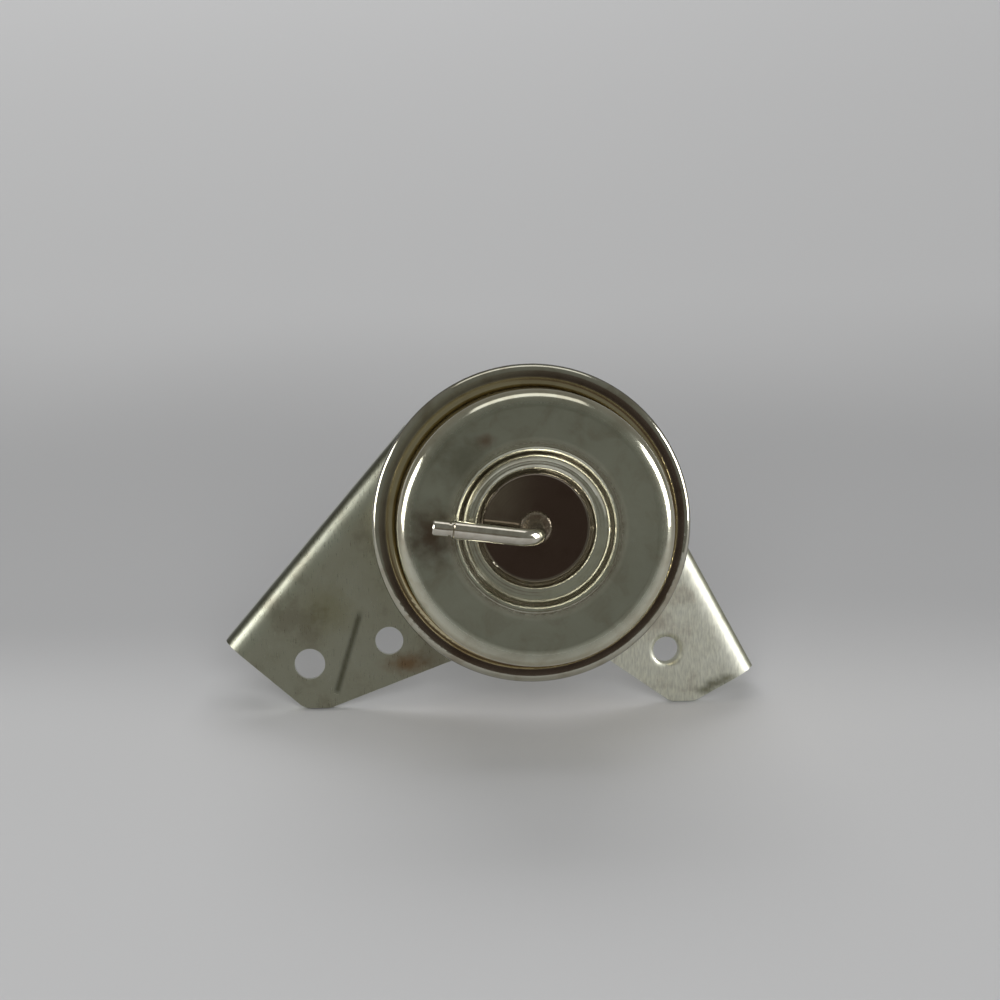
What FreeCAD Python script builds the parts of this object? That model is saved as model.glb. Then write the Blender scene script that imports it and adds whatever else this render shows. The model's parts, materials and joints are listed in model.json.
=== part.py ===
"""Vacuum actuator for a turbocharger: a crimped can on a folded bracket, with a sprung rod.

Millimetres. Every piece is drawn in the actuator's own frame: Y is the can's axis, with the
dome at low Y and the rod at high Y, X runs to the right as seen from the dome, and Z is up.
The finished pieces are then leaned back together, because the actuator stands on its
bracket's two feet and on the eye of its rod. In the part's frame Z is up, the floor is Z = 0
and the origin is the middle of the whole part's base.
"""

import FreeCAD, Part
import math
import os
import Sketcher
from FreeCAD import Placement, Rotation, Vector

doc = FreeCAD.newDocument("turbo_actuator")
sheet = doc.addObject("Spreadsheet::Sheet", "Sizes")

SIZES = {
    # can: radii from its axis, depths along it from the front face of the crimped lip
    "can_radius": 35.5,
    "cover_sheet": 1.0,
    "rim_width": 5.1,
    "lip_width": 3.3,
    "lip_rounding": 1.5,
    "lip_edge_rounding": 0.35,
    "rim_fit": 0.1,
    "dome_height": 19.5,
    "dome_draft": 0.4,
    "shoulder_rounding": 3.8,
    "die_rounding": 1.5,
    "recess_depth": 5.5,
    "recess_slope_width": 2.8,
    "recess_ledge_width": 1.6,
    "recess_ledge_depth": 2.6,
    "recess_ledge_fall": 0.39,
    "recess_step_width": 1.4,
    "recess_rounding": 1.3,
    "recess_hollow": 0.8,
    "lower_depth": 16.0,
    "lower_draft": 0.6,
    "boss_radius": 9.0,
    "boss_height": 6.0,
    "boss_hole_clearance": 1.5,
    "vent_radius": 1.3,
    "vent_count": 3,
    # vacuum nipple
    "tube_radius": 1.9,
    "tube_bore_radius": 1.1,
    "tube_fit": 0.02,
    "tube_root_length": 1.2,
    "arm_clearance": 7.0,
    "arm_reach": 22.5,
    "arm_rise": 2.9,
    "leg_drop": 1.7,
    "tube_bend_radius": 4.6,
    "tube_lean_radius": 9.0,
    "tip_land_length": 3.4,
    "tip_land_radius": 1.75,
    "tip_groove_length": 0.6,
    "tip_groove_radius": 1.5,
    "tip_bead_length": 0.9,
    "tip_bead_radius": 2.3,
    "collar_radius": 3.6,
    "collar_height": 1.5,
    # diaphragm and piston
    "rubber_sheet": 1.0,
    "loop_wall_gap": 0.2,
    "loop_width": 4.6,
    "loop_height": 7.0,
    "loop_flat": 0.05,
    "diaphragm_foot_rounding": 1.5,
    "piston_sheet": 1.0,
    "piston_skirt": 10.5,
    "piston_rounding": 1.5,
    "skirt_gap": 0.2,
    "support_margin": 3.0,
    "support_edge_rounding": 0.4,
    "bumper_radius": 15.0,
    "bumper_width": 3.0,
    "bumper_gap": 0.2,
    "bumper_height": 1.3,
    "bumper_rounding": 0.4,
    "clamp_washer_radius": 8.0,
    "clamp_washer_sheet": 1.0,
    # return spring
    "spring_side_gap": 1.6,
    "spring_recess_gap": 1.4,
    "spring_wire_radius": 1.2,
    "spring_turns": 5.0,
    "spring_seat_gap": 0.05,
    # rod, its guide and its end
    "rod_radius": 3.0,
    "rod_neck_radius": 2.25,
    "rod_head_radius": 4.4,
    "rod_head_height": 1.8,
    "rod_head_rounding": 1.44,
    "rod_fit": 0.05,
    "stack_fit": 0.05,
    "bush_length": 4.0,
    "bush_fit": 0.02,
    "wiper_width": 2.2,
    "wiper_length": 1.9,
    "retainer_sheet": 0.8,
    "retainer_height": 1.8,
    "retainer_hole_clearance": 0.8,
    "rod_reach": 112.0,
    "eye_radius": 7.0,
    "eye_thickness": 6.0,
    "eye_bore_radius": 4.0,
    "eye_bush_bore_radius": 2.5,
    "eye_bush_fit": 0.02,
    "shank_radius": 4.8,
    "shank_length": 22.0,
    "shank_root": 1.0,
    "thread_engagement": 11.0,
    "thread_runout": 1.0,
    "lock_nut_height": 5.0,
    # fasteners that hold the can to the bracket
    "stud_radius": 3.0,
    "stud_gap": 8.0,
    "stud_length": 12.0,
    "stud_hole_clearance": 0.3,
    "washer_width": 2.4,
    "washer_thickness": 1.6,
    "washer_split": 1.0,
    "nut_flats": 10.0,
    "nut_height": 5.0,
    "nut_face_inset": 0.2,
    "nut_chamfer_angle": 30.0,
    "thread_fit": 0.05,
    "coined_margin": 0.4,
    "coined_depth": 0.2,
    # bracket: places in its plate are from the can's axis
    "bracket_sheet": 2.3,
    "bend_radius": 5.7,
    "plate_hole_clearance": 0.6,
    "foot_drop": 42.4,
    "left_flange_angle": 49.4,
    "left_flange_distance": 35.2,
    "left_flange_reach": 65.8,
    "left_flange_top": 1.5,
    "left_flange_depth": 15.0,
    "left_foot_x": -45.6,
    "left_edge_slope": 0.371,
    "right_flange_angle": 62.0,
    "right_flange_distance": 29.4,
    "right_flange_reach": 55.2,
    "right_flange_top": -8.0,
    "right_flange_depth": 13.0,
    "right_foot_x": 32.2,
    "right_edge_slope": 0.698,
    "foot_rounding": 4.0,
    "notch_rounding": 12.0,
    "plate_top": 22.0,
    "plate_top_left": -9.0,
    "plate_top_right": 14.0,
    "flange_relief": 0.85,
    "corner_rounding": 3.0,
    "crease_top_x": -38.4,
    "crease_top_z": -20.0,
    "crease_foot_x": -44.4,
    "crease_foot_z": -39.3,
    "crease_width": 1.1,
    "crease_depth": 0.25,
    "outer_hole_x": -50.3,
    "outer_hole_z": -32.3,
    "outer_hole_radius": 3.5,
    "inner_hole_x": -32.1,
    "inner_hole_z": -27.3,
    "inner_hole_radius": 3.2,
    "right_hole_x": 31.5,
    "right_hole_z": -30.7,
    "right_hole_radius": 3.0,
    "extruded_wall": 1.4,
    "extruded_height": 3.0,
}

for row, (alias, value) in enumerate(SIZES.items(), start=1):
    sheet.set(f"A{row}", alias)
    sheet.set(f"B{row}", str(value))
    sheet.setAlias(f"B{row}", alias)
doc.recompute()


def size(expression):
    """Value in millimetres of an expression of the sheet's names."""
    return float(sheet.evalExpression(expression))


# How near a found edge must lie to the place and the direction asked for.
NEAR = 0.01
CAN_AXIS = Vector(0, 1, 0)

# Radii from the can's axis, from the crimped edge inwards: dome, diaphragm, piston, spring, recess.
RIM_INSIDE = "(Sizes.can_radius - Sizes.cover_sheet)"
CLAMPED_EDGE = "(Sizes.can_radius - Sizes.cover_sheet - Sizes.rim_fit)"
DOME_ROOT = "(Sizes.can_radius - Sizes.rim_width)"
DOME_EDGE = f"({DOME_ROOT} - Sizes.dome_draft)"
LOWER_WALL = DOME_ROOT
LOWER_FLOOR = f"({LOWER_WALL} - Sizes.lower_draft)"
LOOP_OUTSIDE = f"({DOME_EDGE} - Sizes.cover_sheet - Sizes.loop_wall_gap)"
LOOP_INSIDE = f"({LOOP_OUTSIDE} - Sizes.loop_width)"
PISTON = f"({LOOP_INSIDE} - Sizes.skirt_gap)"
PISTON_INSIDE = f"({PISTON} - Sizes.piston_sheet)"
SUPPORT = f"({PISTON} - Sizes.support_margin)"
SPRING = f"({PISTON_INSIDE} - Sizes.spring_side_gap - Sizes.spring_wire_radius)"
RECESS_EDGE = f"({SPRING} - Sizes.spring_wire_radius - Sizes.spring_recess_gap)"
LEDGE_OUTSIDE = f"({RECESS_EDGE} - Sizes.recess_slope_width)"
LEDGE_INSIDE = f"({LEDGE_OUTSIDE} - Sizes.recess_ledge_width)"
RECESS_INNER = f"({LEDGE_INSIDE} - Sizes.recess_step_width)"

# Radii round the rod, and the studs' distance from the can's axis.
STACK_HOLE = "(Sizes.rod_neck_radius + Sizes.stack_fit)"
ROD_BORE = "(Sizes.rod_radius + Sizes.rod_fit)"
ROD_THREAD_HOLE = "(Sizes.rod_radius + Sizes.thread_fit)"
WIPER = "(Sizes.rod_radius + Sizes.wiper_width)"
BOSS_INNER = "(Sizes.boss_radius - Sizes.cover_sheet)"
BUSH_OUTSIDE = "(Sizes.boss_radius - Sizes.cover_sheet - Sizes.bush_fit)"
TUBE_HOLE = "(Sizes.tube_radius + Sizes.tube_fit)"
STUD_OFFSET = "(Sizes.boss_radius + Sizes.stud_gap)"
STUD_THREAD_HOLE = "(Sizes.stud_radius + Sizes.thread_fit)"

# Stations along the can's axis.
FLANGE_FRONT = "Sizes.cover_sheet"
FLANGE_BACK = "2 * Sizes.cover_sheet"
LOWER_FLANGE_FRONT = "2 * Sizes.cover_sheet + Sizes.rubber_sheet"
LOWER_FLANGE_BACK = "3 * Sizes.cover_sheet + Sizes.rubber_sheet"
DOME_TOP = "-Sizes.dome_height"
LEDGE_INSIDE_DEPTH = "-(Sizes.dome_height - Sizes.recess_ledge_depth)"
LEDGE_OUTSIDE_DEPTH = "-(Sizes.dome_height - Sizes.recess_ledge_depth + Sizes.recess_ledge_fall)"
RECESS_FLOOR = "-(Sizes.dome_height - Sizes.recess_depth)"
RECESS_INSIDE = "-(Sizes.dome_height - Sizes.recess_depth - Sizes.cover_sheet)"
PLATE_FRONT = "Sizes.lower_depth"
PLATE_BACK = "(Sizes.lower_depth + Sizes.bracket_sheet)"
NUT_SEAT = "(Sizes.lower_depth + Sizes.bracket_sheet - Sizes.coined_depth)"
LOWER_INSIDE = "(Sizes.lower_depth - Sizes.cover_sheet)"
BOSS_INSIDE = "(Sizes.lower_depth + Sizes.boss_height - Sizes.cover_sheet)"
BOSS_END = "(Sizes.lower_depth + Sizes.boss_height)"
BUMPER_TOP = f"({LOWER_INSIDE} - Sizes.bumper_height)"
SUPPORT_BACK = f"({BUMPER_TOP} - Sizes.bumper_gap)"
SUPPORT_FRONT = f"({SUPPORT_BACK} - Sizes.piston_sheet)"
PISTON_BACK = f"({SUPPORT_FRONT} - Sizes.rubber_sheet)"
PISTON_FRONT = f"({PISTON_BACK} - Sizes.piston_sheet)"
WASHER_FRONT = f"({PISTON_FRONT} - Sizes.clamp_washer_sheet)"
EYE_CENTRE = f"({PLATE_BACK} + Sizes.rod_reach)"
SHANK_START = f"({EYE_CENTRE} - Sizes.shank_length)"


def new_body(label):
    body = doc.addObject("PartDesign::Body", label)
    body.Label = label
    return body


def origin_feature(body, role):
    return next(item for item in body.Origin.OriginFeatures if item.Role == role)


def new_sketch(body, name, role="XY_Plane"):
    sketch = body.newObject("Sketcher::SketchObject", name)
    sketch.AttachmentSupport = [(origin_feature(body, role), "")]
    sketch.MapMode = "FlatFace"
    return sketch


def bind(item, prop, expression):
    item.setExpression(prop, expression)


def fix(sketch, kind, *where, at):
    """Add one dimension to a sketch and bind it to the sheet."""
    value = size(at)
    index = sketch.addConstraint(Sketcher.Constraint(kind, *where, value))
    if "Sizes" in at:
        bind(sketch, f"Constraints[{index}]", at)


def draw_outline(sketch, corners):
    """Closed outline of straight lines; each corner is a pair of expressions."""
    first = sketch.GeometryCount
    spots = [Vector(size(across), size(along), 0) for across, along in corners]
    count = len(corners)
    for index in range(count):
        sketch.addGeometry(Part.LineSegment(spots[index], spots[(index + 1) % count]), False)
    for index in range(count):
        following = first + (index + 1) % count
        sketch.addConstraint(Sketcher.Constraint("Coincident", first + index, 2, following, 1))
    for index, (across, along) in enumerate(corners):
        fix(sketch, "DistanceX", first + index, 1, at=across)
        fix(sketch, "DistanceY", first + index, 1, at=along)


def draw_circle(sketch, across, along, radius):
    centre = Vector(size(across), size(along), 0)
    index = sketch.addGeometry(Part.Circle(centre, Vector(0, 0, 1), size(radius)), False)
    fix(sketch, "DistanceX", index, 3, at=across)
    fix(sketch, "DistanceY", index, 3, at=along)
    fix(sketch, "Radius", index, at=radius)


def revolve(body, name, corners):
    """Turn an outline of (radius, station) corners about the can's axis."""
    sketch = new_sketch(body, name + "_profile")
    draw_outline(sketch, corners)
    feature = body.newObject("PartDesign::Revolution", name)
    feature.Profile = sketch
    feature.ReferenceAxis = (sketch, ["V_Axis"])
    feature.Angle = 360
    doc.recompute()
    return feature


def turn_away(body, name, corners):
    """Cut a turned outline of (radius, station) corners from a body."""
    sketch = new_sketch(body, name + "_profile")
    draw_outline(sketch, corners)
    feature = body.newObject("PartDesign::Groove", name)
    feature.Profile = sketch
    feature.ReferenceAxis = (sketch, ["V_Axis"])
    feature.Angle = 360
    doc.recompute()
    return feature


def face_sketch(body, name, station):
    """Sketch across the can's axis at a station: its X is X and its Y is Z."""
    sketch = new_sketch(body, name, "XZ_Plane")
    bind(sketch, "AttachmentOffset.Base.z", f"-({station})")
    return sketch


def pad_back(body, name, sketch, length):
    """Raise a face sketch towards the rod."""
    feature = body.newObject("PartDesign::Pad", name)
    feature.Profile = sketch
    feature.Reversed = True
    bind(feature, "Length", length)
    doc.recompute()
    return feature


def pocket_through(body, name, sketch):
    """Cut a face sketch right through, both ways."""
    before = body.Shape.Volume
    feature = body.newObject("PartDesign::Pocket", name)
    feature.Profile = sketch
    feature.Type = "ThroughAll"
    feature.Midplane = True
    doc.recompute()
    assert body.Shape.Volume < before, name
    return feature


def circle_edges(shape, spots):
    """Names of the circular edges about the can's axis at (radius, station) spots."""
    names = []
    for radius, station in spots:
        wanted = (size(radius), size(station))
        for index, edge in enumerate(shape.Edges, start=1):
            curve = edge.Curve
            if not isinstance(curve, Part.Circle) or curve.Axis.cross(CAN_AXIS).Length > NEAR:
                continue
            off_axis = math.hypot(curve.Center.x, curve.Center.z)
            here = (curve.Radius, curve.Center.y)
            if off_axis < NEAR and math.dist(here, wanted) < NEAR:
                names.append(f"Edge{index}")
    return names


def round_edges(body, name, radius, names):
    assert names, name
    base = body.Tip
    feature = body.newObject("PartDesign::Fillet", name)
    feature.Base = (base, names)
    bind(feature, "Radius", radius)
    doc.recompute()
    return feature


def round_circles(body, name, radius, spots):
    return round_edges(body, name, radius, circle_edges(body.Tip.Shape, spots))


def corner_edges(shape, spots):
    """Names of the straight edges through a plate's thickness at (x, z) spots."""
    names = []
    for across, up in spots:
        wanted = (size(across), size(up))
        for index, edge in enumerate(shape.Edges, start=1):
            if not isinstance(edge.Curve, Part.Line):
                continue
            start = edge.Vertexes[0].Point
            along_axis = edge.Curve.Direction.cross(CAN_AXIS).Length < NEAR
            if along_axis and math.dist((start.x, start.z), wanted) < NEAR:
                names.append(f"Edge{index}")
    return names


def build_upper_cover():
    """Deep-drawn dome: a solid of its outside is shelled to sheet, then flanged."""
    body = new_body("upper_cover")
    revolve(body, "dome_outside", [
        ("0", RECESS_FLOOR),
        (RECESS_INNER, RECESS_FLOOR),
        (LEDGE_INSIDE, LEDGE_INSIDE_DEPTH),
        (LEDGE_OUTSIDE, LEDGE_OUTSIDE_DEPTH),
        (RECESS_EDGE, DOME_TOP),
        (DOME_EDGE, DOME_TOP),
        (DOME_ROOT, FLANGE_BACK),
        ("0", FLANGE_BACK),
    ])
    round_circles(body, "shoulder", "Sizes.shoulder_rounding", [(DOME_EDGE, DOME_TOP)])
    round_circles(body, "recess_edges", "Sizes.recess_rounding", [
        (RECESS_EDGE, DOME_TOP),
        (LEDGE_INSIDE, LEDGE_INSIDE_DEPTH),
    ])
    hollows = [(LEDGE_OUTSIDE, LEDGE_OUTSIDE_DEPTH), (RECESS_INNER, RECESS_FLOOR)]
    round_circles(body, "recess_hollows", "Sizes.recess_hollow", hollows)
    plug = body.Tip
    faces = plug.Shape.Faces
    back = max(range(len(faces)), key=lambda index: faces[index].CenterOfMass.y)
    shell = body.newObject("PartDesign::Thickness", "sheet_wall")
    shell.Base = (plug, [f"Face{back + 1}"])
    bind(shell, "Value", "Sizes.cover_sheet")
    shell.Reversed = True
    doc.recompute()
    inside_wall = f"{DOME_ROOT} - Sizes.cover_sheet / 2"
    revolve(body, "flange", [
        (inside_wall, FLANGE_FRONT),
        (CLAMPED_EDGE, FLANGE_FRONT),
        (CLAMPED_EDGE, FLANGE_BACK),
        (inside_wall, FLANGE_BACK),
    ])
    share = "Sizes.cover_sheet / (Sizes.dome_height + 2 * Sizes.cover_sheet)"
    wall_foot = f"({DOME_ROOT} - Sizes.dome_draft * {share})"
    round_circles(body, "die_rounding", "Sizes.die_rounding", [(wall_foot, FLANGE_FRONT)])
    turn_away(body, "nipple_hole", [
        ("0", DOME_TOP),
        (TUBE_HOLE, DOME_TOP),
        (TUBE_HOLE, "0"),
        ("0", "0"),
    ])
    return body


def build_lower_cover():
    """Rod-side cover, with its edge rolled over the upper cover's flange."""
    body = new_body("lower_cover")
    lip = "Sizes.can_radius - Sizes.lip_width"
    boss_hole = "Sizes.rod_radius + Sizes.boss_hole_clearance"
    revolve(body, "cover", [
        (lip, "0"),
        ("Sizes.can_radius", "0"),
        ("Sizes.can_radius", LOWER_FLANGE_BACK),
        (LOWER_WALL, LOWER_FLANGE_BACK),
        (LOWER_FLOOR, PLATE_FRONT),
        ("Sizes.boss_radius", PLATE_FRONT),
        ("Sizes.boss_radius", BOSS_END),
        (boss_hole, BOSS_END),
        (boss_hole, BOSS_INSIDE),
        (BOSS_INNER, BOSS_INSIDE),
        (BOSS_INNER, LOWER_INSIDE),
        (f"{LOWER_FLOOR} - Sizes.cover_sheet", LOWER_INSIDE),
        (f"{LOWER_WALL} - Sizes.cover_sheet", LOWER_FLANGE_FRONT),
        (RIM_INSIDE, LOWER_FLANGE_FRONT),
        (RIM_INSIDE, FLANGE_FRONT),
        (lip, FLANGE_FRONT),
    ])
    round_circles(body, "rim_roll", "Sizes.lip_rounding", [
        ("Sizes.can_radius", "0"),
        ("Sizes.can_radius", LOWER_FLANGE_BACK),
    ])
    round_circles(body, "lip_edge", "Sizes.lip_edge_rounding", [(lip, "0")])
    round_circles(body, "floor_bend", "2 * Sizes.cover_sheet", [(LOWER_FLOOR, PLATE_FRONT)])
    round_circles(body, "inner_bends", "Sizes.cover_sheet", [
        (f"{LOWER_FLOOR} - Sizes.cover_sheet", LOWER_INSIDE),
        ("Sizes.boss_radius", BOSS_END),
    ])
    vent = new_sketch(body, "vent_outline", "YZ_Plane")
    draw_circle(vent, f"({LOWER_FLANGE_BACK} + {LOWER_INSIDE}) / 2", "0", "Sizes.vent_radius")
    before = body.Shape.Volume
    cut = body.newObject("PartDesign::Pocket", "vent")
    cut.Profile = vent
    bind(cut, "Length", "Sizes.can_radius")
    doc.recompute()
    assert body.Shape.Volume < before, "vent"
    around = body.newObject("PartDesign::PolarPattern", "vents")
    around.Originals = [cut]
    around.Axis = (origin_feature(body, "Y_Axis"), [""])
    around.Angle = 360
    bind(around, "Occurrences", "Sizes.vent_count")
    body.Tip = around
    doc.recompute()
    return body


def rounded_path(corners, radii):
    """Straight runs through the corners, joined by tangent arcs."""
    edges = []
    start = corners[0]
    for before, here, after, radius in zip(corners, corners[1:], corners[2:], radii):
        back = (before - here).normalize()
        ahead = (after - here).normalize()
        half = back.getAngle(ahead) / 2
        setback = radius / math.tan(half)
        centre = here + (back + ahead).normalize() * (radius / math.sin(half))
        enter = here + back * setback
        leave = here + ahead * setback
        middle = centre + (here - centre).normalize() * radius
        edges.append(Part.LineSegment(start, enter).toShape())
        edges.append(Part.Arc(enter, middle, leave).toShape())
        start = leave
    edges.append(Part.LineSegment(start, corners[-1]).toShape())
    return Part.Wire(edges)


def tube_along(path, radius):
    start = path.Edges[0].Vertexes[0].Point
    ring = Part.Wire(Part.makeCircle(radius, start, CAN_AXIS))
    return path.makePipeShell([ring], True, True)


def build_vacuum_nipple():
    """Bent steel tube: its root stands in the dome, leans a little and turns to one side."""
    arm = size(f"{DOME_TOP} - Sizes.arm_clearance")
    root_end = size(f"{RECESS_INSIDE} + Sizes.tube_fit")
    straight_end = size(f"{RECESS_FLOOR} - Sizes.collar_height - Sizes.tube_root_length")
    drop = size("Sizes.leg_drop")
    corners = [
        Vector(0, root_end, 0),
        Vector(0, straight_end, 0),
        Vector(0, arm, -drop),
        Vector(-size("Sizes.arm_reach"), arm, size("Sizes.arm_rise") - drop),
    ]
    path = rounded_path(corners, [size("Sizes.tube_lean_radius"), size("Sizes.tube_bend_radius")])
    tip = corners[-1]
    inward = (corners[-2] - tip).normalize()
    land = size("Sizes.tip_land_length")
    groove = size("Sizes.tip_groove_length")
    half_bead = size("Sizes.tip_bead_length / 2")
    bead_radius = size("Sizes.tip_bead_radius")
    land_radius = size("Sizes.tip_land_radius")
    waist_radius = size("Sizes.tip_groove_radius")
    chamfer = land_radius - waist_radius
    groove_start = tip + inward * land
    bead_start = groove_start + inward * groove
    bead_middle = bead_start + inward * half_bead
    nose = Part.makeCone(waist_radius, land_radius, chamfer, tip, inward)
    around_nose = Part.makeCylinder(bead_radius, chamfer, tip, inward)
    land_bar = Part.makeCylinder(land_radius, land, tip, inward)
    around_land = Part.makeCylinder(bead_radius, land, tip, inward)
    waist = Part.makeCylinder(waist_radius, groove, groove_start, inward)
    around_waist = Part.makeCylinder(bead_radius, groove, groove_start, inward)
    shape = tube_along(path, size("Sizes.tube_radius"))
    shape = shape.cut(around_land.cut(land_bar))
    shape = shape.cut(around_nose.cut(nose))
    shape = shape.cut(around_waist.cut(waist))
    shape = shape.fuse(Part.makeCone(waist_radius, bead_radius, half_bead, bead_start, inward))
    shape = shape.fuse(Part.makeCone(bead_radius, waist_radius, half_bead, bead_middle, inward))
    shape = shape.cut(tube_along(path, size("Sizes.tube_bore_radius")))
    nipple = doc.addObject("Part::Feature", "vacuum_nipple")
    nipple.Label = "vacuum_nipple"
    nipple.Shape = shape.removeSplitter().Solids[0]
    return nipple


def build_nipple_collar():
    """Ring that is brazed round the tube's root on the recess floor."""
    body = new_body("nipple_collar")
    top = f"{RECESS_FLOOR} - Sizes.collar_height"
    revolve(body, "ring", [
        (TUBE_HOLE, RECESS_FLOOR),
        ("Sizes.collar_radius", RECESS_FLOOR),
        ("Sizes.collar_radius", top),
        (TUBE_HOLE, top),
    ])
    round_circles(body, "crown", "Sizes.collar_height / 2", [("Sizes.collar_radius", top)])
    return body


def build_diaphragm():
    """Rolling rubber diaphragm: clamped in the rim, looped up beside the piston's skirt."""
    body = new_body("diaphragm")
    falling = f"{LOOP_OUTSIDE} - Sizes.rubber_sheet"
    rising = f"{LOOP_INSIDE} + Sizes.rubber_sheet"
    top = "-Sizes.loop_height"
    under_top = "-Sizes.loop_height + Sizes.rubber_sheet"
    revolve(body, "section", [
        (CLAMPED_EDGE, FLANGE_BACK),
        (LOOP_OUTSIDE, FLANGE_BACK),
        (LOOP_OUTSIDE, top),
        (LOOP_INSIDE, top),
        (LOOP_INSIDE, PISTON_BACK),
        (STACK_HOLE, PISTON_BACK),
        (STACK_HOLE, SUPPORT_FRONT),
        (rising, SUPPORT_FRONT),
        (rising, under_top),
        (falling, under_top),
        (falling, LOWER_FLANGE_FRONT),
        (CLAMPED_EDGE, LOWER_FLANGE_FRONT),
    ])
    outside = "(Sizes.loop_width - Sizes.loop_flat) / 2"
    inside = f"{outside} - Sizes.rubber_sheet"
    round_circles(body, "loop_outside", outside, [(LOOP_OUTSIDE, top), (LOOP_INSIDE, top)])
    round_circles(body, "loop_inside", inside, [(falling, under_top), (rising, under_top)])
    round_circles(body, "foot_bend", "Sizes.diaphragm_foot_rounding", [(rising, SUPPORT_FRONT)])
    return body


def build_piston_cup():
    """Pressed cup that carries the diaphragm on its back and seats the spring in its floor."""
    body = new_body("piston_cup")
    rim = f"{PISTON_BACK} - Sizes.piston_skirt"
    revolve(body, "cup", [
        (STACK_HOLE, PISTON_FRONT),
        (PISTON_INSIDE, PISTON_FRONT),
        (PISTON_INSIDE, rim),
        (PISTON, rim),
        (PISTON, PISTON_BACK),
        (STACK_HOLE, PISTON_BACK),
    ])
    round_circles(body, "outer_bend", "Sizes.piston_rounding", [(PISTON, PISTON_BACK)])
    inner = "Sizes.piston_rounding - Sizes.piston_sheet"
    round_circles(body, "inner_bend", inner, [(PISTON_INSIDE, PISTON_FRONT)])
    return body


def build_support_plate():
    """Disc on the diaphragm's other side, with both edges rounded so that they can't cut it."""
    body = new_body("support_plate")
    revolve(body, "disc", [
        (STACK_HOLE, SUPPORT_FRONT),
        (SUPPORT, SUPPORT_FRONT),
        (SUPPORT, SUPPORT_BACK),
        (STACK_HOLE, SUPPORT_BACK),
    ])
    round_circles(body, "edge", "Sizes.support_edge_rounding", [
        (SUPPORT, SUPPORT_FRONT),
        (SUPPORT, SUPPORT_BACK),
    ])
    return body


def build_clamp_washer():
    """Washer under the rod's riveted head."""
    body = new_body("clamp_washer")
    revolve(body, "ring", [
        (STACK_HOLE, WASHER_FRONT),
        ("Sizes.clamp_washer_radius", WASHER_FRONT),
        ("Sizes.clamp_washer_radius", PISTON_FRONT),
        (STACK_HOLE, PISTON_FRONT),
    ])
    return body


def build_rest_bumper():
    """Rubber ring on the lower cover's floor, where the piston comes to rest."""
    body = new_body("rest_bumper")
    inner = "Sizes.bumper_radius - Sizes.bumper_width"
    revolve(body, "ring", [
        (inner, BUMPER_TOP),
        ("Sizes.bumper_radius", BUMPER_TOP),
        ("Sizes.bumper_radius", LOWER_INSIDE),
        (inner, LOWER_INSIDE),
    ])
    round_circles(body, "crown", "Sizes.bumper_rounding", [
        (inner, BUMPER_TOP),
        ("Sizes.bumper_radius", BUMPER_TOP),
    ])
    return body


def build_return_spring():
    """Compression spring from the dome's inner face to the piston, with ground ends."""
    front = f"({DOME_TOP} + Sizes.cover_sheet + Sizes.spring_seat_gap)"
    length = f"({PISTON_FRONT} - Sizes.spring_seat_gap - {front})"
    coil = doc.addObject("Part::Helix", "spring_path")
    bind(coil, "Radius", SPRING)
    bind(coil, "Height", length)
    bind(coil, "Pitch", f"{length} / Sizes.spring_turns")
    wire = doc.addObject("Part::RegularPolygon", "spring_wire")
    wire.Polygon = 8
    bind(wire, "Circumradius", "Sizes.spring_wire_radius")
    wire.Placement = Placement(Vector(size(SPRING), 0, 0), Rotation(Vector(1, 0, 0), 90))
    bind(wire, "Placement.Base.x", SPRING)
    swept = doc.addObject("Part::Sweep", "spring_coil")
    swept.Sections = [wire]
    swept.Spine = coil
    swept.Solid = True
    swept.Frenet = True
    room = doc.addObject("Part::Cylinder", "spring_ends")
    bind(room, "Radius", f"{SPRING} + 2 * Sizes.spring_wire_radius")
    bind(room, "Height", length)
    spring = doc.addObject("Part::Common", "return_spring")
    spring.Label = "return_spring"
    spring.Base = swept
    spring.Tool = room
    spring.Placement = Placement(Vector(0, size(front), 0), Rotation(Vector(1, 0, 0), -90))
    doc.recompute()
    return spring


def build_actuator_rod():
    """Riveted head, neck through the piston stack, and a shank that ends inside the rod end."""
    body = new_body("actuator_rod")
    head_top = f"{WASHER_FRONT} - Sizes.rod_head_height"
    end = f"{SHANK_START} + Sizes.thread_engagement"
    revolve(body, "turned", [
        ("0", head_top),
        ("Sizes.rod_head_radius", head_top),
        ("Sizes.rod_head_radius", WASHER_FRONT),
        ("Sizes.rod_neck_radius", WASHER_FRONT),
        ("Sizes.rod_neck_radius", SUPPORT_BACK),
        ("Sizes.rod_radius", SUPPORT_BACK),
        ("Sizes.rod_radius", end),
        ("0", end),
    ])
    crown = [("Sizes.rod_head_radius", head_top)]
    round_circles(body, "rivet_crown", "Sizes.rod_head_rounding", crown)
    return body


def build_guide_bush():
    """Plain bearing in the boss, with a pocket at its outer end for the wiper."""
    body = new_body("guide_bush")
    front = f"{BOSS_INSIDE} - Sizes.bush_length"
    pocket = f"{BOSS_INSIDE} - Sizes.wiper_length - Sizes.stack_fit"
    revolve(body, "bush", [
        (ROD_BORE, front),
        (BUSH_OUTSIDE, front),
        (BUSH_OUTSIDE, BOSS_INSIDE),
        (f"{WIPER} + Sizes.bush_fit", BOSS_INSIDE),
        (f"{WIPER} + Sizes.bush_fit", pocket),
        (ROD_BORE, pocket),
    ])
    return body


def build_wiper_ring():
    """Ring that keeps dirt off the bush."""
    body = new_body("wiper_ring")
    front = f"{BOSS_INSIDE} - Sizes.wiper_length"
    revolve(body, "ring", [
        (ROD_BORE, front),
        (WIPER, front),
        (WIPER, BOSS_INSIDE),
        (ROD_BORE, BOSS_INSIDE),
    ])
    return body


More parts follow.
